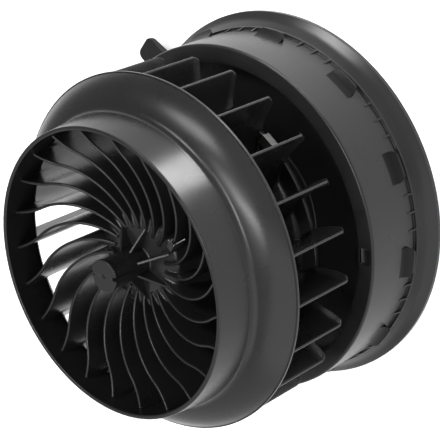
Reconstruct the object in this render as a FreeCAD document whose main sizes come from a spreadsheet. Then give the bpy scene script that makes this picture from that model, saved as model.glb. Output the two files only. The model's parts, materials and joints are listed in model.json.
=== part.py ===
import FreeCAD, Part
import math
import os
import Sketcher
from FreeCAD import Placement, Rotation, Vector

# Cabin blower motor: a mixed-flow fan wheel on the shaft of a brushed motor, which a round plastic
# housing with a sealing flange carries. Millimetres and degrees. The origin is the middle of the flat
# rear face that the part stands on, and +Z runs along the shaft, out of the fan's mouth.

os.makedirs("parts", exist_ok=True)
doc = FreeCAD.newDocument("CabinBlowerMotor")

SIZES = {
    # Fan wheel, outside: depths are measured back from the front rim.
    "rim_height": 109.4,
    "mouth_radius": 60.0,
    "mouth_flare": 1.3,
    "mouth_depth": 15.6,
    "shoulder_radius": 63.6,
    "shoulder_depth": 18.2,
    "dome_radius": 70.2,
    "dome_depth": 21.6,
    "shroud_radius": 74.9,
    "shroud_depth": 27.85,
    "shroud_wall": 1.8,
    "lip_height": 1.2,
    "lip_step": 0.5,
    # Fan wheel, blades.
    "blade_count": 23,
    "blade_wall": 1.2,
    "blade_phase": 2.5,
    "blade_tip_radius": 74.2,
    "blade_back_round": 3.0,
    "blade_bend_radius": 65.7,
    "outer_bend": 28.9,
    "outer_turn": 39.1,
    "inner_bend": 30.4,
    "inner_turn": 73.4,
    "lead_depth": 5.8,
    "lead_slope": 16.7,
    "fan_depth": 60.8,
    # Fan wheel, hub.
    "hub_radius": 57.5,
    "hub_wall": 2.0,
    "hub_round": 100.0,
    "hub_centre_radius": 111.2,
    "hub_centre_depth": -20.2,
    "hub_arc_start": 24.1,
    "hub_arc_step": 14.04,
    "nose_depth": 18.8,
    "boss_radius": 6.3,
    "cap_radius": 6.8,
    "cap_height": 1.5,
    "cap_proud": 0.5,
    "cap_cover": 5.0,
    "core_radius": 8.2,
    "core_length": 33.4,
    "web_count": 7,
    "web_phase": -47.5,
    "web_wall": 1.1,
    "web_reach": 17.0,
    "web_height": 6.8,
    "notch_count": 2,
    "notch_phase": 60.0,
    "notch_width": 1.8,
    "notch_depth": 1.5,
    "notch_length": 9.0,
    "dimple_radius": 1.0,
    "dimple_depth": 0.6,
    # Shaft and what turns with it.
    "shaft_radius": 4.0,
    "shaft_back": 10.8,
    "shaft_chamfer": 0.6,
    "shaft_tip_gap": 0.5,
    "press_gap": 0.02,
    "core_stack_radius": 21.0,
    "core_stack_back": 38.0,
    "core_stack_length": 20.0,
    "slot_count": 12,
    "slot_width": 2.4,
    "slot_floor": 11.0,
    "slot_mouth": 1.2,
    "slot_widening": 1.6,
    "tooth_lip": 1.3,
    "winding_gap": 0.15,
    "winding_widening": 1.5,
    "end_turn_back": 5.2,
    "end_turn_front": 3.4,
    "end_turn_radius": 18.6,
    "end_turn_bore": 8.6,
    "end_turn_round": 2.0,
    "commutator_radius": 8.5,
    "commutator_length": 11.6,
    "riser_radius": 10.2,
    "riser_length": 1.6,
    "bar_gap": 0.5,
    "bar_gap_depth": 0.9,
    "washer_radius": 5.0,
    "washer_wall": 0.8,
    "end_play": 0.3,
    # Motor can, magnets and bearings.
    "can_radius": 30.0,
    "can_wall": 1.8,
    "can_back": 19.0,
    "can_length": 47.0,
    "can_round": 2.5,
    "can_boss_radius": 9.2,
    "can_boss_height": 6.5,
    "can_lip_gap": 0.8,
    "can_lip_wall": 1.2,
    "can_vent_count": 6,
    "can_vent_radius": 3.0,
    "can_vent_pitch": 17.0,
    "magnet_wall": 6.3,
    "magnet_length": 28.0,
    "magnet_angle": 65.0,
    "magnet_back": 34.0,
    "seat_gap": 0.1,
    "spring_wall": 0.8,
    "spring_leg": 3.4,
    "spring_angle": 22.0,
    "spring_leg_angle": 2.0,
    "spring_inset": 2.0,
    "spring_count": 2,
    "bearing_radius": 7.0,
    "bearing_length": 7.0,
    "bearing_end_radius": 5.8,
    "running_gap": 0.03,
    "retainer_radius": 11.0,
    "retainer_bore": 5.4,
    "retainer_wall": 0.5,
    "slit_count": 6,
    "slit_length": 2.4,
    "slit_width": 1.0,
    # Brush gear.
    "card_wall": 2.0,
    "card_boss_radius": 9.5,
    "card_boss_length": 11.0,
    "card_boss_floor": 2.0,
    "card_boss_taper": 2.0,
    "brush_count": 2,
    "brush_rise": 0.5,
    "brush_height": 5.0,
    "brush_width": 8.0,
    "brush_length": 9.6,
    "brush_gap": 0.3,
    "guide_wall": 1.0,
    "guide_gap": 0.1,
    "guide_start": 12.4,
    "guide_end": 25.6,
    "guide_slot_end": 24.6,
    "leaf_wall": 0.35,
    "leaf_slant": 2.4,
    "choke_radius": 2.8,
    "choke_length": 10.0,
    "choke_pitch": 22.6,
    "choke_groove": 0.5,
    "choke_end": 1.2,
    "capacitor_radius": 3.6,
    "capacitor_wall": 3.0,
    "capacitor_pitch": 21.0,
    "terminal_wall": 0.8,
    "terminal_width": 6.0,
    "terminal_offset": 5.0,
    "terminal_root": 25.0,
    "terminal_top": 22.6,
    "terminal_level": 14.0,
    "terminal_tip": 6.4,
    # Housing with its flange, collar and cup.
    "collar_radius": 75.5,
    "collar_top": 37.1,
    "collar_edge": 1.0,
    "collar_land": 7.5,
    "housing_wall": 2.2,
    "land_drop": 15.1,
    "flange_radius": 81.9,
    "flange_edge": 2.05,
    "foot_width": 1.6,
    "cove_arc_step": 30.0,
    "step_radius": 76.6,
    "step_top": 9.2,
    "cup_gap": 2.6,
    "cup_wall": 2.4,
    "cup_back": 8.0,
    "cup_front": 44.0,
    "lug_count": 12,
    "lug_phase": 24.2,
    "lug_front": 22.4,
    "lug_back": 12.2,
    "lug_half_width": 6.6,
    "lug_half_flat": 4.4,
    "lug_height": 2.9,
    "lug_crest": 1.2,
    "lug_waist": 0.9,
    "lug_waist_height": 17.0,
    "lug_corner": 2.4,
    "gusset_spacing": 5.6,
    "gusset_wall": 0.9,
    "gusset_top": 13.2,
    "gusset_inset": 0.1,
    "gusset_rise": 0.3,
    "tab_angle": 20.7,
    "tab_width": 12.0,
    "tab_reach": 93.8,
    "tab_front": 9.4,
    "tab_tip_wall": 1.5,
    "tab_root_wall": 4.4,
    "tab_root_length": 4.0,
    "tab_round": 3.0,
    "pocket_angle": -119.2,
    "pocket_radius": 71.15,
    "pocket_width": 6.4,
    "pocket_length": 4.9,
    "pocket_depth": 1.2,
    "stiffener_count": 12,
    "stiffener_wall": 1.6,
    "stiffener_gap": 0.6,
    "stiffener_step": 1.0,
    "stiffener_rise": 2.0,
    "stiffener_phase": 15.0,
    "screw_count": 3,
    "screw_pitch": 59.0,
    "screw_phase": 30.0,
    "screw_radius": 1.9,
    "screw_length": 11.0,
    "screw_head_radius": 3.6,
    "screw_head_height": 1.9,
    "screw_boss_radius": 4.4,
    "screw_thread_gap": 0.05,
    "screw_end_gap": 0.5,
    "screw_hole_gap": 0.3,
    # Rear cover with the connector socket.
    "cover_back": 4.0,
    "cover_wall": 2.2,
    "cover_gap": 0.4,
    "gate_gap": 1.0,
    "gate_rise": 3.0,
    "socket_pitch": 50.0,
    "socket_length": 17.6,
    "socket_width": 10.0,
    "socket_wall": 1.6,
    "socket_floor": 1.7,
    # Rubber ring and balance clips.
    "ring_back": 25.0,
    "ring_length": 16.0,
    "ring_gap": 0.05,
    "ring_rib_count": 12,
    "ring_rib_width": 3.0,
    "ring_rib_height": 1.2,
    "clip_wall": 0.5,
    "clip_gap": 0.22,
    "clip_width": 6.0,
    "clip_reach": 3.4,
    "rim_clip_angle": -67.8,
    "blade_clip_blade": 4,
    "blade_clip_turn": 50.0,
    "blade_clip_gap": 0.3,
    "blade_clip_width": 5.0,
    "blade_clip_reach": 5.0,
    # How far a cut runs past the surface that it opens, and how far an added shape sinks into its root.
    "overcut": 1.0,
    "join": 0.5,
}

sheet = doc.addObject("Spreadsheet::Sheet", "Sizes")
for row, (name, number) in enumerate(SIZES.items(), start=1):
    sheet.set("A%d" % row, name)
    sheet.set("B%d" % row, str(number))
    sheet.setAlias("B%d" % row, name)
doc.recompute()


class Size:
    """A number that keeps the sheet expression it was worked out from."""

    def __init__(self, value, text):
        self.value = value
        self.text = text

    def __add__(self, other):
        other = sized(other)
        return Size(self.value + other.value, "(%s + %s)" % (self.text, other.text))

    def __sub__(self, other):
        other = sized(other)
        return Size(self.value - other.value, "(%s - %s)" % (self.text, other.text))

    def __mul__(self, other):
        other = sized(other)
        return Size(self.value * other.value, "(%s * %s)" % (self.text, other.text))

    def __truediv__(self, other):
        other = sized(other)
        return Size(self.value / other.value, "(%s / %s)" % (self.text, other.text))

    def __neg__(self):
        return Size(-self.value, "(0 - %s)" % self.text)

    __radd__ = __add__
    __rmul__ = __mul__

    def __rsub__(self, other):
        return sized(other) - self


def sized(thing):
    if isinstance(thing, Size):
        return thing
    return Size(float(thing), repr(float(thing)))


def sine(angle):
    angle = sized(angle)
    return Size(math.sin(math.radians(angle.value)), "sin(%s * 1 deg)" % angle.text)


def cosine(angle):
    angle = sized(angle)
    return Size(math.cos(math.radians(angle.value)), "cos(%s * 1 deg)" % angle.text)


def root(size):
    return Size(math.sqrt(size.value), "sqrt(%s)" % size.text)


class Sheet:
    """The driving sizes, by name."""

    def __init__(self):
        for name, number in SIZES.items():
            setattr(self, name, Size(float(number), "Sizes.%s" % name))


s = Sheet()


# Bodies, sketches and features

def new_body(name):
    body = doc.addObject("PartDesign::Body", name)
    body.Label = name
    return body


def origin_part(body, role):
    for feature in body.Origin.OriginFeatures:
        if feature.Role == role:
            return feature
    raise ValueError("no origin feature " + role)


def new_sketch(body, name, role="XZ_Plane", height=None, angle=None):
    """A sketch on an origin plane, raised along its normal or, on the XZ plane, turned about Z."""
    sketch = body.newObject("Sketcher::SketchObject", name)
    sketch.AttachmentSupport = [(origin_part(body, role), "")]
    sketch.MapMode = "FlatFace"
    if height is not None:
        sketch.AttachmentOffset = Placement(Vector(0, 0, height.value), Rotation())
        sketch.setExpression("AttachmentOffset.Base.z", height.text)
    if angle is not None:
        spin = Vector(0, 1, 0) if role == "XZ_Plane" else Vector(0, 0, 1)
        sketch.AttachmentOffset = Placement(sketch.AttachmentOffset.Base, Rotation(spin, angle.value))
        sketch.setExpression("AttachmentOffset.Rotation.Angle", "%s * 1 deg" % angle.text)
    return sketch


def pin_point(sketch, edge, end, across, up):
    """Holds one end of an edge at a place worked out from the sheet."""
    for kind, size in (("DistanceX", sized(across)), ("DistanceY", sized(up))):
        index = sketch.addConstraint(Sketcher.Constraint(kind, -1, 1, edge, end, size.value))
        if "Sizes" in size.text:
            sketch.setExpression("Constraints[%d]" % index, size.text)


def draw_outline(sketch, corners):
    """Draws a closed outline. A corner is (across, up) or (across, up, radius): the radius bends the edge
    that leaves the corner, to the left when it is positive and to the right when it is negative."""
    spots = []
    for corner in corners:
        across = sized(corner[0])
        up = sized(corner[1])
        bend = sized(corner[2]) if len(corner) > 2 else None
        spots.append((across, up, bend))
    ends = []
    for index, (across, up, bend) in enumerate(spots):
        start = Vector(across.value, up.value, 0)
        after = spots[(index + 1) % len(spots)]
        stop = Vector(after[0].value, after[1].value, 0)
        if bend is None:
            edge = sketch.addGeometry(Part.LineSegment(start, stop), False)
            first, last = 1, 2
        else:
            edge, first, last = draw_arc(sketch, start, stop, bend)
        ends.append((edge, first, last))
        pin_point(sketch, edge, first, across, up)
    for index, (edge, first, last) in enumerate(ends):
        following = ends[(index + 1) % len(ends)]
        sketch.addConstraint(Sketcher.Constraint("Coincident", edge, last, following[0], following[1]))


def draw_arc(sketch, start, stop, bend):
    """The shorter arc from start to stop: its centre lies to the left of the way for a positive bend."""
    radius = abs(bend.value)
    chord = stop - start
    side = Vector(-chord.y, chord.x, 0).normalize() * (1 if bend.value > 0 else -1)
    rise = math.sqrt(max(radius ** 2 - (chord.Length / 2) ** 2, 0.0))
    centre = (start + stop) * 0.5 + side * rise
    circle = Part.Circle(centre, Vector(0, 0, 1), radius)
    low, high = (start, stop) if bend.value > 0 else (stop, start)
    from_angle = math.atan2(low.y - centre.y, low.x - centre.x)
    to_angle = math.atan2(high.y - centre.y, high.x - centre.x)
    edge = sketch.addGeometry(Part.ArcOfCircle(circle, from_angle, to_angle), False)
    index = sketch.addConstraint(Sketcher.Constraint("Radius", edge, radius))
    sketch.setExpression("Constraints[%d]" % index, "abs(%s)" % bend.text)
    if bend.value > 0:
        return edge, 1, 2
    return edge, 2, 1


def draw_circle(sketch, across, up, radius):
    across = sized(across)
    up = sized(up)
    centre = Vector(across.value, up.value, 0)
    edge = sketch.addGeometry(Part.Circle(centre, Vector(0, 0, 1), radius.value), False)
    index = sketch.addConstraint(Sketcher.Constraint("Radius", edge, radius.value))
    sketch.setExpression("Constraints[%d]" % index, radius.text)
    pin_point(sketch, edge, 3, across, up)


def ring_corners(low_radius, high_radius, low, high):
    return [(low_radius, low), (high_radius, low), (high_radius, high), (low_radius, high)]


def turned(body, name, corners, kind="Revolution"):
    """Turns a profile of (radius, height) corners about the body's Z axis, adding or cutting."""
    before = 0.0 if body.Tip is None else body.Shape.Volume
    sketch = new_sketch(body, name + "_profile")
    draw_outline(sketch, corners)
    feature = body.newObject("PartDesign::" + kind, name)
    feature.Profile = sketch
    feature.ReferenceAxis = (sketch, ["V_Axis"])
    feature.Angle = 360
    settle(body, name, before, kind == "Groove")
    return feature


def settle(body, name, before, cuts):
    """Recomputes, and makes sure that a cut took material away and an addition brought some."""
    doc.recompute()
    after = body.Shape.Volume
    if cuts and after >= before - 1e-6:
        raise RuntimeError(name + " cuts nothing")
    if not cuts and after <= before + 1e-6:
        raise RuntimeError(name + " adds nothing")


def extruded(body, name, sketch, length, kind="Pad", middle=False, backwards=False):
    before = 0.0 if body.Tip is None else body.Shape.Volume
    feature = body.newObject("PartDesign::" + kind, name)
    feature.Profile = sketch
    feature.Length = length.value
    feature.setExpression("Length", length.text)
    feature.Midplane = middle
    feature.Reversed = backwards
    settle(body, name, before, kind == "Pocket")
    return feature


def upright(body, name, draw, low, high, kind="Pad", angle=None):
    """Adds or cuts between two heights what draw puts in a sketch parallel to the base."""
    sketch = new_sketch(body, name + "_outline", "XY_Plane", low, angle)
    draw(sketch)
    return extruded(body, name, sketch, high - low, kind, backwards=(kind == "Pocket"))


def radial_plate(body, name, corners, wall, angle, kind="Pad"):
    """Adds or cuts a plate that stands in a plane through the Z axis; corners are (radius, height)."""
    sketch = new_sketch(body, name + "_outline", angle=angle)
    draw_outline(sketch, corners)
    return extruded(body, name, sketch, wall, kind, middle=True)


def patterned(body, name, feature, count, whole=False):
    """Repeats a feature, or the whole body so far, evenly about the Z axis."""
    before = body.Shape.Volume
    pattern = body.newObject("PartDesign::PolarPattern", name)
    if whole:
        pattern.TransformMode = "Whole shape"
    else:
        pattern.Originals = feature if isinstance(feature, list) else [feature]
    pattern.Axis = (origin_part(body, "Z_Axis"), [""])
    pattern.Angle = 360
    pattern.Occurrences = int(count.value)
    pattern.setExpression("Occurrences", count.text)
    body.Tip = pattern
    doc.recompute()
    if abs(body.Shape.Volume - before) < 1e-6:
        raise RuntimeError(name + " repeats nothing")
    return pattern


def spot(radius, angle):
    """A place on a circle about the Z axis, as (x, y)."""
    return radius * cosine(angle), radius * sine(angle)


def box_corners(x_low, x_high, y_low, y_high):
    return [(x_low, y_low), (x_high, y_low), (x_high, y_high), (x_low, y_high)]


# Heights above the rear face that several pieces share

shroud_back = s.rim_height - s.shroud_depth
fan_back = s.rim_height - s.fan_depth
nose_height = s.rim_height - s.nose_depth
cap_top = s.rim_height + s.cap_proud
core_back = s.rim_height - s.core_length
shaft_tip = cap_top - s.cap_cover - s.shaft_tip_gap
can_front = s.can_back + s.can_length
can_bore = s.can_radius - s.can_wall
cup_bore = s.can_radius + s.cup_gap
cup_radius = cup_bore + s.cup_wall
wall_bore = s.collar_radius - s.housing_wall
land_radius = s.collar_radius - s.collar_land
floor_front = s.collar_top - s.land_drop
floor_back = floor_front - s.housing_wall
cover_front = s.cover_back + s.cover_wall
card_front = s.can_back + s.card_wall
front_bearing_end = can_front - s.can_wall + s.seat_gap / 2
back_bearing_end = s.can_back - s.seat_gap
washer_back = back_bearing_end + s.retainer_wall + s.end_play
commutator_back = washer_back + s.washer_wall
brush_level = card_front + s.brush_height / 2 + s.guide_gap + s.brush_rise


def blade_spine():
    """The blade's mean line from above, with its tip on the X axis: a straight radial run, a bend one way
    and a longer bend back. Returns the two bends' centres and the headings at their ends."""
    end_heading = s.outer_turn - s.inner_turn
    first = (s.blade_bend_radius, -s.outer_bend)
    joint = (first[0] - s.outer_bend * sine(s.outer_turn), first[1] + s.outer_bend * cosine(s.outer_turn))
    second = (joint[0] - s.inner_bend * sine(s.outer_turn), joint[1] + s.inner_bend * cosine(s.outer_turn))
    return first, second, end_heading


def blade_outline(sketch):
    half = s.blade_wall / 2
    first, second, end_heading = blade_spine()

    def joint(reach):
        return first[0] - reach * sine(s.outer_turn), first[1] + reach * cosine(s.outer_turn)

    def end(reach):
        return second[0] + reach * sine(end_heading), second[1] - reach * cosine(end_heading)

    upper_joint = joint(s.outer_bend + half)
    lower_joint = joint(s.outer_bend - half)
    upper_end = end(s.inner_bend - half)
    lower_end = end(s.inner_bend + half)
    draw_outline(sketch, [
        (s.blade_tip_radius, -half),
        (s.blade_tip_radius, half),
        (s.blade_bend_radius, half, s.outer_bend + half),
        (upper_joint[0], upper_joint[1], half - s.inner_bend),
        (upper_end[0], upper_end[1]),
        (lower_end[0], lower_end[1], s.inner_bend + half),
        (lower_joint[0], lower_joint[1], half - s.outer_bend),
        (s.blade_bend_radius, -half),
    ])


def hub_point(step, inwards):
    """A corner of the hub's hollow flank, which cones make up: step 0 is at the nose and 2 at the rim."""
    angle = s.hub_arc_start + s.hub_arc_step * step
    reach = s.hub_round + inwards
    return (s.hub_centre_radius - reach * cosine(angle),
            s.rim_height - s.hub_centre_depth - reach * sine(angle))


def lead_height(radius):
    """Height of the blades' sloping front edge at a radius."""
    inner = s.mouth_radius - s.shroud_wall
    tangent = sine(s.lead_slope) / cosine(s.lead_slope)
    return s.rim_height - s.lead_depth - (inner - radius) * tangent


def fan_wheel():
    """One moulding: shroud with its mouth, blades and hub with its boss."""
    body = new_body("fan_wheel")
    body.AllowCompound = True
    mid = s.shroud_wall / 2
    beyond = s.blade_tip_radius + s.overcut
    above = s.rim_height + s.overcut
    upright(body, "blade", blade_outline, fan_back, s.rim_height, angle=s.blade_phase)
    mouth_mid = s.mouth_radius - mid
    turned(body, "blade_front_trim", [
        (s.boss_radius, above),
        (s.boss_radius, lead_height(s.boss_radius)),
        (mouth_mid, lead_height(mouth_mid)),
        (mouth_mid + s.mouth_flare, s.rim_height - s.mouth_depth),
        (s.shoulder_radius - mid, s.rim_height - s.shoulder_depth - mid),
        (s.dome_radius - mid, s.rim_height - s.dome_depth - mid),
        (s.blade_tip_radius - mid, shroud_back + s.lip_height),
        (s.blade_tip_radius, shroud_back + mid),
        (beyond, shroud_back + mid),
        (beyond, above),
    ], "Groove")
    behind = fan_back - s.overcut
    turned(body, "blade_back_round", [
        (s.blade_tip_radius - s.blade_back_round, behind),
        (s.blade_tip_radius - s.blade_back_round, fan_back),
        (s.blade_tip_radius, fan_back + s.blade_back_round),
        (beyond, fan_back + s.blade_back_round),
        (beyond, behind),
    ], "Groove")
    half_wall = s.hub_wall / 2
    turned(body, "blade_root_trim", [
        (0, behind),
        (s.hub_radius - half_wall, behind),
        (s.hub_radius - half_wall, fan_back + half_wall),
        (hub_point(2, half_wall)[0], fan_back + half_wall),
        hub_point(1, half_wall),
        hub_point(0, half_wall),
        (s.boss_radius, nose_height - half_wall),
        (0, nose_height - half_wall),
    ], "Groove")
    patterned(body, "blades", None, s.blade_count, whole=True)
    turned(body, "hub", [
        (hub_point(2, s.hub_wall)[0], fan_back),
        (s.hub_radius, fan_back),
        (s.hub_radius, fan_back + s.hub_wall),
        (hub_point(2, 0)[0], fan_back + s.hub_wall),
        hub_point(1, 0),
        hub_point(0, 0),
        (s.boss_radius, nose_height),
        (s.boss_radius, cap_top - s.cap_height),
        (s.cap_radius, cap_top - s.cap_height),
        (s.cap_radius, cap_top),
        (0, cap_top),
        (0, shaft_tip + s.shaft_tip_gap),
        (s.shaft_radius + s.press_gap, shaft_tip + s.shaft_tip_gap),
        (s.shaft_radius + s.press_gap, core_back),
        (s.core_radius, core_back),
        (s.core_radius, nose_height - s.hub_wall - s.hub_wall),
        hub_point(0, s.hub_wall),
        hub_point(1, s.hub_wall),
    ])
    lip = s.shroud_radius - s.lip_step
    turned(body, "shroud", [
        (s.mouth_radius - s.shroud_wall, s.rim_height),
        (s.mouth_radius - s.shroud_wall + s.mouth_flare, s.rim_height - s.mouth_depth - mid),
        (s.shoulder_radius - mid, s.rim_height - s.shoulder_depth - s.shroud_wall),
        (s.dome_radius - mid, s.rim_height - s.dome_depth - s.shroud_wall),
        (s.shroud_radius - s.shroud_wall, shroud_back),
        (s.shroud_radius, shroud_back),
        (s.shroud_radius, shroud_back + s.lip_height),
        (lip, shroud_back + s.lip_height),
        (s.dome_radius, s.rim_height - s.dome_depth),
        (s.shoulder_radius, s.rim_height - s.shoulder_depth),
        (s.mouth_radius + s.mouth_flare, s.rim_height - s.mouth_depth),
        (s.mouth_radius, s.rim_height),
    ])
    web_foot = hub_point(0, 0)[1] - half_wall
    web = radial_plate(body, "nose_web", [
        (s.boss_radius - half_wall, web_foot),
        (s.web_reach, web_foot),
        (s.web_reach, hub_point(0, 0)[1] + half_wall),
        (s.boss_radius - half_wall, nose_height + s.web_height),
    ], s.web_wall, s.web_phase)
    patterned(body, "nose_webs", web, s.web_count)
    half_notch = s.notch_width / 2

    def notch_outline(sketch):
        draw_outline(sketch, box_corners(s.boss_radius - s.notch_depth, s.cap_radius + s.overcut,
                                         -half_notch, half_notch))

    notch = upright(body, "cap_notch", notch_outline, cap_top - s.notch_length, cap_top + s.overcut, "Pocket",
                    angle=s.notch_phase)
    patterned(body, "cap_notches", notch, s.notch_count)
    turned(body, "gate_dimple", [
        (0, cap_top - s.dimple_depth),
        (s.dimple_radius, cap_top),
        (s.dimple_radius, cap_top + s.overcut),
        (0, cap_top + s.overcut),
    ], "Groove")
    return body


# Shaft, armature and commutator

def motor_shaft():
    body = new_body("motor_shaft")
    end_radius = s.shaft_radius - s.shaft_chamfer
    turned(body, "bar", [
        (0, s.shaft_back),
        (end_radius, s.shaft_back),
        (s.shaft_radius, s.shaft_back + s.shaft_chamfer),
        (s.shaft_radius, shaft_tip - s.shaft_chamfer),
        (end_radius, shaft_tip),
        (0, shaft_tip),
    ])
    return body


def armature_core():
    """Laminated stack with open slots, each narrowed at its mouth by the teeth's lips."""
    body = new_body("armature_core")
    front = s.core_stack_back + s.core_stack_length
    bore = s.shaft_radius + s.press_gap
    turned(body, "stack", ring_corners(bore, s.core_stack_radius, s.core_stack_back, front))
    half = s.slot_width / 2
    wide = half * s.slot_widening
    mouth = s.slot_mouth / 2
    inside = s.core_stack_radius - s.tooth_lip
    outside = s.core_stack_radius + s.overcut

    def slot_outline(sketch):
        draw_outline(sketch, [
            (s.slot_floor, -half), (inside, -wide), (inside, -mouth), (outside, -mouth),
            (outside, mouth), (inside, mouth), (inside, wide), (s.slot_floor, half),
        ])

    slot = upright(body, "slot", slot_outline, s.core_stack_back, front, "Pocket")
    patterned(body, "slots", slot, s.slot_count)
    return body


def armature_windings():
    """Copper in the slots, joined at both ends by rounded end turns."""
    body = new_body("armature_windings")
    front = s.core_stack_back + s.core_stack_length
    gap = s.winding_gap
    half = s.slot_width / 2 - gap
    wide = half * s.winding_widening

    def end_turn(low, high, round_at_high):
        corner = s.end_turn_round
        outer = s.end_turn_radius
        if round_at_high:
            return [(s.end_turn_bore, low), (outer, low), (outer, high - corner),
                    (outer - corner, high), (s.end_turn_bore, high)]
        return [(s.end_turn_bore, high), (s.end_turn_bore, low), (outer - corner, low),
                (outer, low + corner), (outer, high)]

    back = s.core_stack_back - gap
    turned(body, "back_end_turns", end_turn(back - s.end_turn_back, back, False))

    def bar_outline(sketch):
        draw_outline(sketch, [
            (s.slot_floor + gap, -half), (s.end_turn_radius - gap, -wide),
            (s.end_turn_radius - gap, wide), (s.slot_floor + gap, half),
        ])

    bar = upright(body, "slot_bar", bar_outline, back - s.end_turn_round, front + gap + s.end_turn_round)
    patterned(body, "slot_bars", bar, s.slot_count)
    turned(body, "front_end_turns", end_turn(front + gap, front + gap + s.end_turn_front, True))
    return body


def commutator():
    """Copper bars round a moulded core, parted by narrow gaps, with a riser at the winding end."""
    body = new_body("commutator")
    bore = s.shaft_radius + s.press_gap
    front = commutator_back + s.commutator_length
    turned(body, "segments", [
        (bore, commutator_back), (s.commutator_radius, commutator_back),
        (s.commutator_radius, front - s.riser_length), (s.riser_radius, front - s.riser_length),
        (s.riser_radius, front), (bore, front),
    ])
    half = s.bar_gap / 2

    def gap_outline(sketch):
        inner = s.commutator_radius - s.bar_gap_depth
        draw_outline(sketch, box_corners(inner, s.riser_radius + s.overcut, -half, half))

    half_pitch = sized(180) / s.slot_count
    gap = upright(body, "bar_gap_cut", gap_outline, commutator_back, front, "Pocket", angle=half_pitch)
    patterned(body, "bar_gaps", gap, s.slot_count)
    return body


def spacer(name, low, high):
    """Nylon washer or sleeve on the shaft, between a bearing and what turns beside it."""
    body = new_body(name)
    turned(body, "ring", ring_corners(s.shaft_radius + s.running_gap, s.washer_radius, low, high))
    return body


# Motor can, magnets and bearings

def motor_can():
    """Drawn steel cup, open at the back, with a bearing seat drawn out of its front."""
    body = new_body("motor_can")
    inner_front = can_front - s.can_wall
    boss_top = can_front + s.can_boss_height
    seat = s.bearing_radius + s.seat_gap
    lip_bore = s.shaft_radius + s.can_lip_gap
    lip_back = boss_top - s.can_lip_wall
    turned(body, "shell", [
        (can_bore, s.can_back),
        (s.can_radius, s.can_back),
        (s.can_radius, can_front - s.can_round),
        (s.can_radius - s.can_round, can_front),
        (s.can_boss_radius, can_front),
        (s.can_boss_radius, boss_top),
        (lip_bore, boss_top),
        (lip_bore, lip_back),
        (seat, lip_back),
        (seat, inner_front),
        (can_bore, inner_front),
    ])
    vent = upright(body, "vent", lambda sketch: draw_circle(sketch, s.can_vent_pitch, 0, s.can_vent_radius),
                   inner_front - s.overcut, can_front + s.overcut, "Pocket")
    patterned(body, "vents", vent, s.can_vent_count)
    return body


def magnet(name, middle):
    """Ferrite arc magnet seated against the can."""
    body = new_body(name)
    outer = can_bore - s.seat_gap
    inner = outer - s.magnet_wall
    half = s.magnet_angle
    low = spot(outer, middle - half)
    high = spot(outer, middle + half)
    top = spot(outer, middle)
    low_in = spot(inner, middle - half)
    high_in = spot(inner, middle + half)
    top_in = spot(inner, middle)

    def outline(sketch):
        draw_outline(sketch, [
            (low[0], low[1], outer), (top[0], top[1], outer), (high[0], high[1]),
            (high_in[0], high_in[1], -inner), (top_in[0], top_in[1], -inner), (low_in[0], low_in[1]),
        ])

    upright(body, "arc", outline, s.magnet_back, s.magnet_back + s.magnet_length)
    return body


def magnet_springs():
    """Two bent spring strips, one in each gap between the magnets, which press them against the can."""
    body = new_body("magnet_springs")
    body.AllowCompound = True
    outer = can_bore - s.seat_gap
    inner = outer - s.spring_wall
    tip = inner - s.spring_leg
    half = s.spring_angle
    leg = s.spring_angle - s.spring_leg_angle
    low = spot(outer, -half)
    high = spot(outer, half)
    high_tip = spot(tip, half)
    high_leg = spot(tip, leg)
    high_in = spot(inner, leg)
    low_in = spot(inner, -leg)
    low_leg = spot(tip, -leg)
    low_tip = spot(tip, -half)

    def outline(sketch):
        draw_outline(sketch, [
            (low[0], low[1], outer), (high[0], high[1]), (high_tip[0], high_tip[1]),
            (high_leg[0], high_leg[1]),
            (high_in[0], high_in[1], -inner), (low_in[0], low_in[1]), (low_leg[0], low_leg[1]),
            (low_tip[0], low_tip[1]),
        ])

    strip = upright(body, "strip", outline, s.magnet_back + s.spring_inset,
                    s.magnet_back + s.magnet_length - s.spring_inset)
    patterned(body, "strips", strip, s.spring_count)
    return body


def bearing(name, low):
    """Self-aligning sintered bush, narrowed towards both ends."""
    body = new_body(name)
    bore = s.shaft_radius + s.running_gap
    high = low + s.bearing_length
    taper = s.bearing_length / 3
    turned(body, "bush", [
        (bore, low),
        (s.bearing_end_radius, low),
        (s.bearing_radius, low + taper),
        (s.bearing_radius, high - taper),
        (s.bearing_end_radius, high),
        (bore, high),
    ])
    return body


def retainer(name, low):
    """Sprung steel washer that holds a bearing in its seat."""
    body = new_body(name)
    high = low + s.retainer_wall
    turned(body, "washer", ring_corners(s.retainer_bore, s.retainer_radius, low, high))
    half = s.slit_width / 2

    def slit_outline(sketch):
        draw_outline(sketch, box_corners(s.retainer_bore - s.overcut, s.retainer_bore + s.slit_length,
                                         -half, half))

    slit = upright(body, "slit", slit_outline, low - s.overcut, high + s.overcut, "Pocket")
    patterned(body, "slits", slit, s.slit_count)
    return body


# Brush gear

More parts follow.
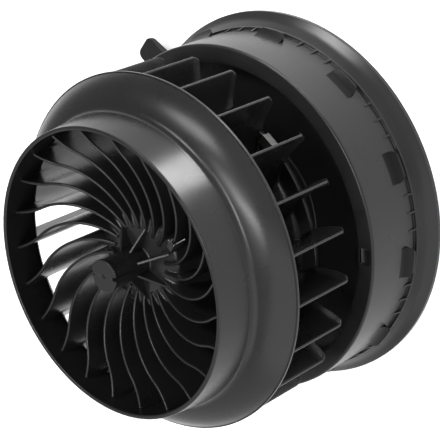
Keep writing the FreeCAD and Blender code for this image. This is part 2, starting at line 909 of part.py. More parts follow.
def brush_card():
    """Moulded end plate: closes the can, seats the rear bearing and guides the brushes."""
    body = new_body("brush_card")
    back = s.can_back - s.card_wall
    boss_back = card_front - s.card_boss_length - s.card_wall
    seat = s.bearing_radius + s.seat_gap
    pocket = s.retainer_radius + s.seat_gap
    shelf = back_bearing_end
    turned(body, "plate", [
        (0, boss_back),
        (s.card_boss_radius, boss_back),
        (s.card_boss_radius + s.card_boss_taper, back),
        (s.can_radius, back),
        (s.can_radius, s.can_back),
        (can_bore - s.seat_gap, s.can_back),
        (can_bore - s.seat_gap, card_front),
        (pocket, card_front),
        (pocket, shelf),
        (seat, shelf),
        (seat, boss_back + s.card_boss_floor),
        (0, boss_back + s.card_boss_floor),
    ])
    half = s.brush_width / 2 + s.guide_gap
    wall = s.guide_wall
    top = brush_level + s.brush_height / 2 + s.guide_gap

    def guide_outline(sketch):
        draw_outline(sketch, box_corners(s.guide_start, s.guide_end, -(half + wall), half + wall))

    guide = upright(body, "brush_guide", guide_outline, card_front - s.join, top + wall)
    patterned(body, "brush_guides", guide, s.brush_count)

    def channel_outline(sketch):
        draw_outline(sketch, box_corners(s.guide_start - s.overcut, s.guide_slot_end, -half, half))

    bottom = brush_level - s.brush_height / 2 - s.guide_gap
    channel = upright(body, "brush_channel", channel_outline, bottom, top, "Pocket")
    patterned(body, "brush_channels", channel, s.brush_count)
    slot_half = s.terminal_width / 2 + s.seat_gap
    for index, side in enumerate((-1, 1)):
        def slot_outline(sketch, side=side):
            middle = s.terminal_offset * side
            near = s.terminal_root - s.seat_gap
            far = s.terminal_root + s.terminal_wall + s.seat_gap
            draw_outline(sketch, box_corners(middle - slot_half, middle + slot_half, near, far))

        upright(body, "terminal_slot_%d" % (index + 1), slot_outline,
                back - s.overcut, card_front + s.overcut, "Pocket")
    return body


def brush(name, angle):
    """Carbon block with a face hollowed to the commutator."""
    body = new_body(name)
    half = s.brush_width / 2
    inner = s.commutator_radius - s.overcut
    outer = s.commutator_radius + s.brush_gap + s.brush_length
    low = brush_level - s.brush_height / 2
    high = brush_level + s.brush_height / 2

    def outline(sketch):
        draw_outline(sketch, box_corners(inner, outer, -half, half))

    upright(body, "block", outline, low, high, angle=sized(angle))
    turned(body, "face", ring_corners(sized(0), s.commutator_radius + s.brush_gap,
                                      low - s.overcut, high + s.overcut), "Groove")
    return body


def brush_spring(name, angle):
    """Folded leaf spring between the brush and the end of its guide."""
    body = new_body(name)
    start = s.commutator_radius + s.brush_gap + s.brush_length + s.seat_gap
    stop = s.guide_slot_end - s.seat_gap
    rise = s.leaf_wall * s.leaf_slant
    half = s.brush_height / 2 - rise
    folds = 3
    step = (stop - start) / folds
    upper = []
    lower = []
    for index in range(folds + 1):
        level = brush_level + half if index % 2 else brush_level - half
        upper.append((start + step * index, level + rise / 2))
        lower.append((start + step * index, level - rise / 2))
    radial_plate(body, "leaf", upper + lower[::-1], s.terminal_width, sized(angle))
    return body


def choke(name, angle):
    """Ferrite rod wound with copper, standing on the brush card."""
    body = new_body(name)
    place = spot(s.choke_pitch, sized(angle))
    low = card_front
    core = s.choke_radius - s.choke_groove
    upright(body, "foot", lambda sketch: draw_circle(sketch, place[0], place[1], core),
            low, low + s.choke_length)
    upright(body, "winding", lambda sketch: draw_circle(sketch, place[0], place[1], s.choke_radius),
            low + s.choke_end, low + s.choke_length - s.choke_end)
    return body


def suppression_capacitor():
    body = new_body("suppression_capacitor")
    half = s.capacitor_wall / 2
    low = card_front

    def outline(sketch):
        draw_outline(sketch, box_corners(-s.capacitor_radius, s.capacitor_radius,
                                         -s.capacitor_pitch - half, half - s.capacitor_pitch))

    upright(body, "block", outline, low, low + s.capacitor_radius * 2)
    return body


def terminal(name, side):
    """Brass strip from the brush card out to the socket, where its end is the connector's blade."""
    body = new_body(name)
    wall = s.terminal_wall
    level = s.terminal_level
    blade = s.socket_pitch - wall / 2
    sketch = body.newObject("Sketcher::SketchObject", "strip_outline")
    sketch.AttachmentSupport = [(origin_part(body, "YZ_Plane"), "")]
    sketch.MapMode = "FlatFace"
    offset = s.terminal_offset * side
    sketch.AttachmentOffset = Placement(Vector(0, 0, offset.value), Rotation())
    sketch.setExpression("AttachmentOffset.Base.z", offset.text)
    draw_outline(sketch, [
        (s.terminal_root, level), (blade, level), (blade, s.terminal_tip), (blade + wall, s.terminal_tip),
        (blade + wall, level + wall), (s.terminal_root + wall, level + wall),
        (s.terminal_root + wall, s.terminal_top), (s.terminal_root, s.terminal_top),
    ])
    extruded(body, "strip", sketch, s.terminal_width, middle=True)
    return body


# Housing, rubber ring and rear cover

def cove_point(step, inwards):
    """A corner of the flange's hollow cove, which cones make up: step 0 is at the rim, 3 at the step."""
    cove = s.flange_radius - s.step_radius
    reach = cove + inwards
    angle = s.cove_arc_step * step
    return s.flange_radius - reach * sine(angle), s.flange_edge + cove - reach * cosine(angle)


def flange_housing():
    """One moulding: sealing flange with a step behind the collar, floor and the cup that holds the motor."""
    body = new_body("flange_housing")
    cove_height = s.flange_edge + s.flange_radius - s.step_radius
    turned(body, "shell", [
        (land_radius, s.collar_top),
        (land_radius, floor_front),
        (cup_radius, floor_front),
        (cup_radius, s.cup_front),
        (cup_bore, s.cup_front),
        (cup_bore, s.cup_back),
        (cup_radius, s.cup_back),
        (cup_radius, floor_back),
        (land_radius + s.housing_wall, floor_back),
        (land_radius + s.housing_wall, s.collar_top - s.housing_wall),
        (wall_bore, s.collar_top - s.housing_wall),
        (wall_bore, cove_height),
        cove_point(2, s.housing_wall),
        cove_point(1, s.housing_wall),
        (s.flange_radius - s.foot_width, 0),
        (s.flange_radius, 0),
        cove_point(0, 0),
        cove_point(1, 0),
        cove_point(2, 0),
        (s.step_radius, cove_height),
        (s.step_radius, s.step_top),
        (s.collar_radius, s.step_top),
        (s.collar_radius, s.collar_top - s.collar_edge),
        (s.collar_radius - s.collar_edge, s.collar_top),
    ])
    housing_lugs(body)
    housing_gussets(body)
    housing_tab(body)
    housing_inside(body)
    return body


def housing_lugs(body):
    """Hollow ramps on the collar that rise to a crest, with their corners cut off towards the flange."""
    crest = s.collar_radius + s.lug_height
    foot = s.collar_radius - s.join
    ramp = radial_plate(body, "lug", [
        (foot, s.lug_back),
        (crest, s.lug_back),
        (crest, s.lug_back + s.lug_crest),
        (s.collar_radius + s.lug_waist, s.lug_waist_height),
        (foot, s.lug_front),
    ], s.lug_half_width * 2, sized(0))
    sketch = body.newObject("Sketcher::SketchObject", "lug_corners_outline")
    sketch.AttachmentSupport = [(origin_part(body, "YZ_Plane"), "")]
    sketch.MapMode = "FlatFace"
    sketch.AttachmentOffset = Placement(Vector(0, 0, s.collar_radius.value), Rotation())
    sketch.setExpression("AttachmentOffset.Base.z", s.collar_radius.text)
    beyond = s.lug_half_width + s.overcut
    drop = s.lug_back - s.overcut
    for side in (-1, 1):
        draw_outline(sketch, [
            (s.lug_half_flat * side, drop),
            (beyond * side, drop),
            (beyond * side, s.lug_back + s.lug_corner),
            (s.lug_half_width * side, s.lug_back + s.lug_corner),
            (s.lug_half_flat * side, s.lug_back),
        ])
    before = body.Shape.Volume
    corners = body.newObject("PartDesign::Pocket", "lug_corners")
    corners.Profile = sketch
    depth = s.lug_height + s.overcut
    corners.Length = depth.value
    corners.setExpression("Length", depth.text)
    corners.Reversed = True
    settle(body, "lug_corners", before, True)
    patterned(body, "lugs", [ramp, corners], s.lug_count)


def housing_gussets(body):
    """Thin ribs on the collar between the lugs, three to each gap, which run out from the step."""
    edge = s.step_radius - s.gusset_inset
    for index in range(3):
        angle = sized(180) / s.lug_count + s.gusset_spacing * (index - 1)
        web = radial_plate(body, "gusset_%d" % (index + 1), [
            (s.collar_radius - s.join, s.gusset_top),
            (s.collar_radius - s.join, s.step_top - s.join),
            (edge, s.step_top - s.join),
            (edge, s.step_top),
            (s.collar_radius + s.gusset_rise, s.gusset_top),
        ], s.gusset_wall, angle)
        patterned(body, "gussets_%d" % (index + 1), web, s.lug_count)


def housing_tab(body):
    """Locking tab that stands out behind the collar, thinner and rounded at its tip."""
    angle = s.tab_angle - s.lug_phase
    foot = s.collar_radius - s.join
    tab_back = s.tab_front - s.tab_root_wall
    radial_plate(body, "tab", [
        (foot, s.tab_front),
        (foot, tab_back),
        (s.collar_radius + s.tab_root_length, tab_back),
        (s.tab_reach, s.tab_front - s.tab_tip_wall),
        (s.tab_reach, s.tab_front),
    ], s.tab_width, angle)
    edges = []
    tip_start = s.tab_reach.value - s.join.value
    shortest = s.tab_tip_wall.value / 2
    for index, edge in enumerate(body.Shape.Edges, start=1):
        ends = [vertex.Point for vertex in edge.Vertexes]
        far = all(math.hypot(point.x, point.y) > tip_start for point in ends)
        if far and len(ends) == 2 and abs(ends[0].z - ends[1].z) > shortest:
            edges.append("Edge%d" % index)
    tab = body.Tip
    rounding = body.newObject("PartDesign::Fillet", "tab_corners")
    rounding.Base = (tab, edges)
    rounding.Radius = s.tab_round.value
    rounding.setExpression("Radius", s.tab_round.text)
    doc.recompute()


def housing_inside(body):
    """Pocket in the land, screw bosses, stiffening ribs and the way out for the terminals."""
    half_width = s.pocket_width / 2
    half_length = s.pocket_length / 2

    def pocket_outline(sketch):
        draw_outline(sketch, box_corners(s.pocket_radius - half_length, s.pocket_radius + half_length,
                                         -half_width, half_width))

    turn = s.pocket_angle - s.lug_phase
    upright(body, "land_pocket", pocket_outline, s.collar_top - s.pocket_depth, s.collar_top + s.overcut,
            "Pocket", turn)
    screw_turn = s.screw_phase - s.lug_phase

    def boss_outline(sketch):
        draw_circle(sketch, s.screw_pitch, 0, s.screw_boss_radius)

    boss = upright(body, "screw_boss", boss_outline, cover_front, floor_back + s.join, angle=screw_turn)
    patterned(body, "screw_bosses", boss, s.screw_count)
    stiffener_turn = s.stiffener_phase - s.lug_phase
    stiffener_back = s.terminal_level + s.stiffener_gap
    stiffener = radial_plate(body, "stiffener", [
        (cup_radius - s.join, stiffener_back),
        (land_radius + s.housing_wall + s.stiffener_step, stiffener_back),
        (wall_bore + s.join, stiffener_back + s.stiffener_rise),
        (wall_bore + s.join, floor_back + s.join),
        (cup_radius - s.join, floor_back + s.join),
    ], s.stiffener_wall, stiffener_turn)
    patterned(body, "stiffeners", stiffener, s.stiffener_count)
    thread = s.screw_radius + s.screw_thread_gap
    hole = upright(body, "screw_hole", lambda sketch: draw_circle(sketch, s.screw_pitch, 0, thread),
                   cover_front - s.overcut, s.cover_back + s.screw_length + s.screw_end_gap, "Pocket",
                   screw_turn)
    patterned(body, "screw_holes", hole, s.screw_count)
    half_gate = s.terminal_offset + s.terminal_width / 2 + s.gate_gap

    def gate_outline(sketch):
        draw_outline(sketch, box_corners(-half_gate, half_gate, cup_bore - s.gate_rise,
                                         cup_radius + s.overcut))

    upright(body, "terminal_gate", gate_outline, s.cup_back - s.overcut, s.terminal_level + s.gate_rise,
            "Pocket", -s.lug_phase)


def cushion_ring():
    """Rubber ring between the can and the cup, ribbed outside."""
    body = new_body("cushion_ring")
    low = s.ring_back
    high = s.ring_back + s.ring_length
    inner = s.can_radius + s.ring_gap
    turned(body, "sleeve", ring_corners(inner, inner + s.cup_gap - s.ring_rib_height, low, high))
    half = s.ring_rib_width / 2

    def rib_outline(sketch):
        draw_outline(sketch, box_corners(inner + s.join, cup_bore - s.seat_gap, -half, half))

    rib = upright(body, "rib", rib_outline, low, high)
    patterned(body, "ribs", rib, s.ring_rib_count)
    return body


def rear_cover():
    """Moulded disc that closes the housing's back, with the connector socket."""
    body = new_body("rear_cover")
    turned(body, "disc", [
        (0, s.cover_back), (wall_bore - s.cover_gap, s.cover_back),
        (wall_bore - s.cover_gap, cover_front), (0, cover_front),
    ])
    half_length = s.socket_length / 2
    half_width = s.socket_width / 2
    wall = s.socket_wall
    socket_front = s.terminal_level - s.seat_gap

    def block_outline(sketch):
        reach = half_width + wall
        draw_outline(sketch, box_corners(-(half_length + wall), half_length + wall,
                                         s.socket_pitch - reach, s.socket_pitch + reach))

    def cavity_outline(sketch):
        draw_outline(sketch, box_corners(-half_length, half_length,
                                         s.socket_pitch - half_width, s.socket_pitch + half_width))

    upright(body, "socket_block", block_outline, s.cover_back, socket_front)
    below = s.cover_back - s.overcut
    upright(body, "socket_cavity", cavity_outline, below, socket_front - s.socket_floor, "Pocket")
    half_slot = s.terminal_width / 2 + s.seat_gap
    for index, side in enumerate((-1, 1)):
        def slot_outline(sketch, side=side):
            middle = s.terminal_offset * side
            reach = s.terminal_wall / 2 + s.seat_gap
            draw_outline(sketch, box_corners(middle - half_slot, middle + half_slot,
                                             s.socket_pitch - reach, s.socket_pitch + reach))

        upright(body, "blade_slot_%d" % (index + 1), slot_outline, below, socket_front + s.overcut, "Pocket")
    wide = s.screw_radius + s.screw_hole_gap
    hole = upright(body, "screw_hole", lambda sketch: draw_circle(sketch, s.screw_pitch, 0, wide),
                   below, cover_front + s.overcut, "Pocket", s.screw_phase)
    patterned(body, "screw_holes", hole, s.screw_count)
    return body


def cover_screws():
    """Pan-head screws that hold the rear cover, as one group."""
    body = new_body("cover_screws")
    body.AllowCompound = True

    def shank(sketch):
        draw_circle(sketch, s.screw_pitch, 0, s.screw_radius)

    def head(sketch):
        draw_circle(sketch, s.screw_pitch, 0, s.screw_head_radius)

    upright(body, "shank", shank, s.cover_back - s.join, s.cover_back + s.screw_length, angle=s.screw_phase)
    upright(body, "head", head, s.cover_back - s.screw_head_height, s.cover_back, angle=s.screw_phase)
    patterned(body, "screws", None, s.screw_count, whole=True)
    return body


# Balance clips

def rim_balance_clip():
    """Sprung steel clip pushed over the hub's rim."""
    body = new_body("rim_balance_clip")
    gap = s.clip_gap
    wall = s.clip_wall
    low = fan_back - gap
    high = fan_back + s.hub_wall + gap
    reach = s.hub_radius + gap
    inner = s.hub_radius - s.clip_reach
    radial_plate(body, "clip", [
        (inner, low - wall), (reach + wall, low - wall), (reach + wall, high + wall), (inner, high + wall),
        (inner, high), (reach, high), (reach, low), (inner, low),
    ], s.clip_width, s.rim_clip_angle)
    return body


def blade_balance_clip():
    """Sprung steel clip pushed over a blade's front edge near the hub."""
    body = new_body("blade_balance_clip")
    gap = s.blade_clip_gap
    half = s.blade_wall / 2 + gap
    wall = s.clip_wall
    reach = s.blade_clip_reach
    sketch = body.newObject("Sketcher::SketchObject", "clip_outline")
    sketch.AttachmentSupport = [(origin_part(body, "YZ_Plane"), "")]
    sketch.MapMode = "FlatFace"
    draw_outline(sketch, [
        (-half - wall, -reach), (-half, -reach), (-half, gap), (half, gap), (half, -reach),
        (half + wall, -reach), (half + wall, gap + wall), (-half - wall, gap + wall),
    ])
    extruded(body, "clip", sketch, s.blade_clip_width, middle=True)
    second = blade_spine()[1]
    heading = s.outer_turn - s.blade_clip_turn
    x = second[0] + s.inner_bend * sine(heading)
    y = second[1] - s.inner_bend * cosine(heading)
    turn = s.blade_phase - s.blade_clip_blade * 360 / s.blade_count
    across = x * cosine(turn) - y * sine(turn)
    along = x * sine(turn) + y * cosine(turn)
    height = lead_height(root(x * x + y * y))
    yaw = turn + heading
    tilt = -s.lead_slope
    rotation = Rotation(Vector(0, 0, 1), yaw.value).multiply(Rotation(Vector(0, 1, 0), tilt.value))
    body.Placement = Placement(Vector(across.value, along.value, height.value), rotation)
    spot_text = "vector(%s; %s; %s)" % (across.text, along.text, height.text)
    turn_text = "rotation(vector(0; 0; 1); %s) * rotation(vector(0; 1; 0); %s)" % (yaw.text, tilt.text)
    body.setExpression("Placement", "placement(%s; %s)" % (spot_text, turn_text))
    doc.recompute()
    return body


def turned_with_lugs(body):
    """Sets a body that was drawn against its lugs at its true turn about Z."""
    body.Placement = Placement(Vector(), Rotation(Vector(0, 0, 1), s.lug_phase.value))
    body.setExpression("Placement.Rotation.Angle", "%s * 1 deg" % s.lug_phase.text)
    doc.recompute()


nodes = [
    fan_wheel(),
    motor_shaft(),
    armature_core(),
    armature_windings(),
    commutator(),
    spacer("rear_thrust_washer", washer_back, commutator_back),
    spacer("front_spacer_sleeve", s.core_stack_back + s.core_stack_length,
           front_bearing_end - s.retainer_wall - s.end_play),
    rim_balance_clip(),
    blade_balance_clip(),
    motor_can(),
    magnet("field_magnet_1", sized(90)),
    magnet("field_magnet_2", sized(270)),
    magnet_springs(),
    bearing("front_bearing", front_bearing_end),
    bearing("rear_bearing", back_bearing_end - s.bearing_length),
    retainer("front_bearing_retainer", can_front - s.can_wall - s.retainer_wall),
    retainer("rear_bearing_retainer", back_bearing_end),
    brush_card(),
    brush("brush_1", 0),
    brush("brush_2", 180),
    brush_spring("brush_spring_1", 0),
    brush_spring("brush_spring_2", 180),
    choke("choke_1", 52),
    choke("choke_2", 128),
    suppression_capacitor(),
    terminal("terminal_1", -1),
    terminal("terminal_2", 1),
    cushion_ring(),
    rear_cover(),
    cover_screws(),
]
housing = flange_housing()
turned_with_lugs(housing)
nodes.append(housing)

doc.recompute()
for item in doc.Objects:
    if "Invalid" in item.State or "Error" in item.State:
        raise RuntimeError("%s failed: %s" % (item.Name, item.State))
for body in nodes:
    shape = body.Shape
    if shape.isNull() or not shape.isValid():
        raise RuntimeError(body.Label + " has no valid shape")
    shape.exportStep("parts/%s.step" % body.Label)
    print(body.Label, "solids", len(shape.Solids), "volume", round(shape.Volume, 1))
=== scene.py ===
import json
import math

import bpy
import numpy as np
from mathutils import Matrix, Vector


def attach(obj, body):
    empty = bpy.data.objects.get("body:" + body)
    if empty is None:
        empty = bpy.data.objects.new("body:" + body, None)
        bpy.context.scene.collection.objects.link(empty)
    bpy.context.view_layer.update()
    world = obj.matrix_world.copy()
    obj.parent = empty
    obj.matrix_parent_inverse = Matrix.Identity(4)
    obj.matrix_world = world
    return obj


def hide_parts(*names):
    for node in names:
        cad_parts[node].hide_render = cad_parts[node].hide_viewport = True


bl_info = {
    "name": "Cabin blower motor",
    "version": (1, 0, 0),
    "blender": (4, 5, 0),
    "location": "3D View > Sidebar > Blower",
    "description": "Dresses the blower motor: fan wheel, flanged housing, finishes and studio",
    "category": "Object",
}

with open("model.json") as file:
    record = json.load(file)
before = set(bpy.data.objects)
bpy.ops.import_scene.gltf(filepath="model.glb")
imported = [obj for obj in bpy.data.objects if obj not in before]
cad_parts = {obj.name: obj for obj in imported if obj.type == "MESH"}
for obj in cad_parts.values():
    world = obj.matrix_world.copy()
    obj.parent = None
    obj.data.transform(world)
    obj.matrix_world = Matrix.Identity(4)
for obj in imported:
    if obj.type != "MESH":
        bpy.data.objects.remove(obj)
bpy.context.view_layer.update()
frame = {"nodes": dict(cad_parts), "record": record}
MM = 0.001

# Values that all the shapes share
ARC_POINTS = [(1.3 * MM, 5), (8 * MM, 9), (math.inf, 24)]  # limit of a radius, points of an arc below it
GUARD = 0.12 * MM  # from an arc's end to the point that keeps the side beside it flat
LEAST_ROUND = 0.2 * MM  # least radius of a corner when its line is moved sideways
SAME_PLACE = 1e-7  # points this close together are merged, in metres
ALLOWANCE = 1e-6  # for rounding errors, in metres or radians
AROUND = 288  # points round the shroud and round the housing's shell
BEVEL_STEPS = 3
BEVEL_ANGLE = math.radians(25)  # an edge that turns by less stays as it is


# Sizes and colours that a user would change

def length(name, text, millimetres):
    """A size with its default given in millimetres."""
    return bpy.props.FloatProperty(name=name, description=text, default=millimetres * MM, min=0.0,
                                   unit="LENGTH", subtype="DISTANCE", precision=5)


def turn(name, text, degrees):
    """An angle with its default given in degrees."""
    return bpy.props.FloatProperty(name=name, description=text, default=math.radians(degrees),
                                   unit="ROTATION", subtype="ANGLE")


def linear(code):
    """The linear colour of an sRGB hex value."""
    srgb = np.array([int(code[i:i + 2], 16) for i in (1, 3, 5)]) / 255
    flat = np.where(srgb <= 0.04045, srgb / 12.92, ((srgb + 0.055) / 1.055) ** 2.4)
    return (float(flat[0]), float(flat[1]), float(flat[2]), 1.0)


def colour(name, text, code):
    """A colour with its default given as an sRGB hex value."""
    return bpy.props.FloatVectorProperty(name=name, description=text, default=linear(code), size=4,
                                         min=0.0, max=1.0, subtype="COLOR")


class BlowerWheel(bpy.types.PropertyGroup):
    """Sizes of the fan wheel: shroud, blades and hub."""
    rim_height: length("Rim height", "Front rim of the mouth above the flange's rear face", 109.4)
    mouth_radius: length("Mouth radius", "Outer radius of the front rim", 60.0)
    mouth_depth: length("Mouth depth", "From the front rim to the foot of the mouth's wall", 17.46)
    mouth_flare: length("Mouth flare", "How much wider the mouth's wall is at its foot", 1.46)
    shoulder_round: length("Shoulder round", "Hollow between the mouth's wall and the dome", 3.2)
    dome_corner_radius: length("Dome radius", "Where the dome's two slopes would meet, from the axis", 70.455)
    dome_corner_depth: length("Dome depth", "Where the dome's two slopes would meet, below the rim", 20.56)
    dome_round: length("Dome round", "Radius that joins the dome's two slopes", 20.6)
    shroud_radius: length("Shroud radius", "Outer radius of the shroud's rear lip", 74.88)
    shroud_depth: length("Shroud depth", "From the front rim to the shroud's rear edge", 27.85)
    shroud_wall: length("Shroud wall", "Wall of the shroud", 1.8)
    lip_height: length("Lip height", "Height of the shroud's rear lip", 1.2)
    lip_step: length("Lip step", "How far the rear lip stands out", 0.48)
    blade_count: bpy.props.IntProperty(name="Blades", description="Number of blades", default=23, min=3)
    blade_wall: length("Blade wall", "Thickness of a blade", 1.2)
    blade_phase: turn("Blade phase", "Turn of the first blade's tip from the X axis", 2.5)
    blade_tip: length("Blade tip", "Radius of the blades' outer edges", 74.2)
    blade_run: length("Straight run", "Radial run of a blade before its first bend", 8.5)
    outer_bend: length("Outer bend", "Radius of a blade's outer bend", 28.9)
    outer_turn: turn("Outer turn", "Angle of a blade's outer bend", 39.1)
    inner_bend: length("Inner bend", "Radius of a blade's inner bend", 30.4)
    inner_turn: turn("Inner turn", "Angle of a blade's inner bend", 73.4)
    lead_depth: length("Lead depth", "Depth of the blades' front edges at the mouth's wall", 5.8)
    lead_slope: turn("Lead slope", "Slope of the blades' front edges down to the hub", 16.7)
    fan_depth: length("Wheel depth", "From the front rim to the wheel's back", 60.8)
    root_round: length("Root round", "Fillet where a blade meets the shroud or the hub", 0.8)
    corner_round: length("Corner round", "Rounding of a blade's rear corner", 4.2)
    hub_radius: length("Hub radius", "Outer radius of the hub's rim", 57.5)
    hub_flat: length("Hub flat", "Radius where the flat rim turns into the hollow flank", 49.88)
    hub_wall: length("Hub wall", "Wall of the hub", 2.0)
    flank_corner_radius: length("Flank radius", "Where the flank's slopes would meet, from the axis", 30.1)
    flank_corner_height: length("Flank height", "Where the flank's slopes would meet, up", 65.94)
    flank_round: length("Flank round", "Radius of the hollow flank", 92.0)
    nose_radius: length("Nose radius", "Edge of the hub's flat nose", 19.92)
    nose_edge: length("Nose edge", "Height of the nose at its edge", 88.77)
    nose_height: length("Nose height", "Height of the nose at the boss", 90.6)
    boss_radius: length("Boss radius", "Radius of the shaft's boss", 6.3)
    cap_radius: length("Cap radius", "Radius of the cap on the boss", 6.8)
    cap_height: length("Cap height", "Thickness of the cap on the boss", 1.5)
    cap_top: length("Cap top", "Height of the cap's face", 109.85)
    core_radius: length("Core radius", "Radius of the core round the shaft, inside the hub", 8.2)
    core_back: length("Core back", "Height of the core's rear end", 76.0)
    shaft_radius: length("Bore radius", "Radius of the shaft's bore", 4.02)
    bore_top: length("Bore top", "Height where the shaft's bore ends", 104.9)
    web_count: bpy.props.IntProperty(name="Webs", description="Webs round the boss", default=7, min=0)
    web_turn: turn("Web turn", "Turn of the first web from the X axis", -47.5)
    web_wall: length("Web wall", "Thickness of a web", 1.1)
    web_reach: length("Web reach", "How far the webs reach from the axis", 17.0)
    web_rise: length("Web rise", "How far the webs climb the boss", 6.8)
    notch_turn: turn("Notch turn", "Turn of the cap's first notch from the X axis", 60.0)
    notch_half: length("Notch half width", "Half the width of the cap's two notches", 0.9)
    notch_floor: length("Notch floor", "Radius of the notches' floor", 4.8)
    notch_back: length("Notch back", "Height where the notches end", 101.0)


class BlowerHousing(bpy.types.PropertyGroup):
    """Sizes of the flanged housing."""
    collar_radius: length("Collar radius", "Outer radius of the collar", 75.5)
    collar_top: length("Collar top", "Height of the collar's lip", 37.1)
    collar_edge: length("Collar edge", "Rounding of the lip's outer edge", 1.0)
    land_radius: length("Land radius", "Inner radius of the lip", 68.0)
    land_drop: length("Land drop", "From the lip down to the floor", 15.1)
    wall: length("Wall", "Wall of the housing", 2.2)
    flange_radius: length("Flange radius", "Outer radius of the flange", 81.88)
    flange_edge: length("Flange edge", "Height of the flange's edge", 2.05)
    slope_radius: length("Slope radius", "Where the flange's two slopes would meet, from the axis", 78.9)
    slope_height: length("Slope height", "Where the flange's two slopes would meet, up", 4.6)
    slope_top: length("Slope top", "Height where the flange's slope meets the step", 8.2)
    cove: length("Cove", "Radius of the hollow between the flange's slopes", 10.0)
    rear_cove: length("Rear cove", "Radius of the hollow behind the flange", 7.1)
    step_radius: length("Step radius", "Outer radius of the step behind the collar", 76.6)
    step_top: length("Step top", "Height where the step falls back to the collar", 9.2)
    cup_bore: length("Cup bore", "Inner radius of the motor's cup", 32.6)
    cup_radius: length("Cup radius", "Outer radius of the motor's cup", 35.0)
    cup_back: length("Cup back", "Height of the cup's rear end", 8.0)
    cup_front: length("Cup front", "Height of the cup's front end", 44.0)
    pocket_turn: turn("Pocket turn", "Where the lip's pocket is, from the X axis", -119.2)
    pocket_half: turn("Pocket half width", "Half the pocket's width", 2.58)
    pocket_near: length("Pocket near", "Inner radius of the pocket", 68.7)
    pocket_far: length("Pocket far", "Outer radius of the pocket", 73.6)
    pocket_depth: length("Pocket depth", "Depth of the pocket", 1.2)
    lug_count: bpy.props.IntProperty(name="Lugs", description="Lugs round the collar", default=12, min=1)
    lug_phase: turn("Lug phase", "Turn of the first lug from the X axis", 24.2)
    lug_front: length("Lug front", "Height where a lug's ramp starts", 18.9)
    lug_back: length("Lug back", "Height of a lug's steep rear face", 12.2)
    lug_half: length("Lug half width", "Half the width of a lug", 6.6)
    lug_flat: length("Lug flat", "Half the width of a lug's rear edge", 4.4)
    lug_corner: length("Lug corner", "Height of a lug's cut corners", 2.4)
    lug_height: length("Lug height", "How far a lug stands out of the collar", 2.9)
    lug_crest: length("Lug crest", "Height of the flat crest behind the ramp", 1.2)
    gusset_step: turn("Gusset step", "Angle between the three ribs of a gap", 5.6)
    gusset_wall: length("Gusset wall", "Thickness of a rib in front of the step", 0.9)
    gusset_top: length("Gusset top", "Height where a rib ends on the collar", 13.2)
    gusset_rise: length("Gusset rise", "How far a rib stands out of the collar at its end", 0.3)
    tab_turn: turn("Tab turn", "Turn of the locking tab from the X axis", 20.7)
    tab_half: length("Tab half width", "Half the width of the locking tab", 6.0)
    tab_reach: length("Tab reach", "How far the tab's tip is from the axis", 93.75)
    tab_front: length("Tab front", "Height of the tab's front face", 9.4)
    tab_tip_wall: length("Tab tip", "Thickness of the tab at its tip", 1.5)
    tab_root_wall: length("Tab root", "Thickness of the tab at its root", 4.4)
    tab_round: length("Tab round", "Rounding of the tab's corners", 3.0)
    stiffener_count: bpy.props.IntProperty(name="Stiffeners", description="Ribs under the floor", default=12)
    stiffener_wall: length("Stiffener wall", "Thickness of a rib under the floor", 1.6)
    stiffener_back: length("Stiffener back", "Height of the ribs' rear edge", 14.6)
    stiffener_turn: turn("Stiffener turn", "Turn of the first rib from the X axis", 15.0)
    screw_pitch: length("Screw pitch", "Distance of the cover's screws from the axis", 59.0)
    screw_turn: turn("Screw turn", "Turn of the first screw from the X axis", 30.0)
    screw_boss: length("Screw boss", "Radius of a screw's boss", 4.4)
    cover_front: length("Cover front", "Height of the rear cover's inner face", 6.2)


class BlowerColours(bpy.types.PropertyGroup):
    """Colours of the finishes that show most."""
    nylon: colour("Nylon", "Fan wheel, base tone", "#191919")
    nylon_light: colour("Nylon, light", "Fan wheel, where the glass fibre shows", "#202021")
    polypropylene: colour("Polypropylene", "Housing, base tone", "#1a1a1b")
    polypropylene_light: colour("Polypropylene, light", "Housing, lighter clouds", "#222223")
    floor: colour("Floor", "Floor under the part", "#f2f2f2")


# Shapes

def rounded(corners):
    """A closed outline with every corner rounded. A corner is (across, up, radius). The arc's ends lie
    radius * tan(turn / 2) from the corner, and a point just outside each end keeps the flats flat."""
    points = np.array(corners, float)
    place, radius = points[:, :2], points[:, 2]
    back = np.roll(place, 1, 0) - place
    ahead = np.roll(place, -1, 0) - place
    back /= np.linalg.norm(back, axis=1)[:, None]
    ahead /= np.linalg.norm(ahead, axis=1)[:, None]
    inside = np.arccos(np.clip((back * ahead).sum(1), -1, 1))
    reach = radius / np.tan(inside / 2)
    middle = back + ahead
    middle /= np.linalg.norm(middle, axis=1)[:, None]
    centre = place + middle * (radius / np.sin(inside / 2))[:, None]
    parts = []
    for i, size in enumerate(radius):
        if size == 0:
            parts.append(place[i][None])
            continue
        start = place[i] + back[i] * reach[i]
        stop = place[i] + ahead[i] * reach[i]
        a, b = (start - centre[i]) / size, (stop - centre[i]) / size
        sweep = math.pi - inside[i]
        number = next(count for limit, count in ARC_POINTS if size < limit)
        share = np.linspace(0, 1, number)[:, None]
        arc = (a * np.sin((1 - share) * sweep) + b * np.sin(share * sweep)) / math.sin(sweep)
        parts += [(start + back[i] * GUARD)[None], centre[i] + arc * size, (stop + ahead[i] * GUARD)[None]]
    return np.concatenate(parts)


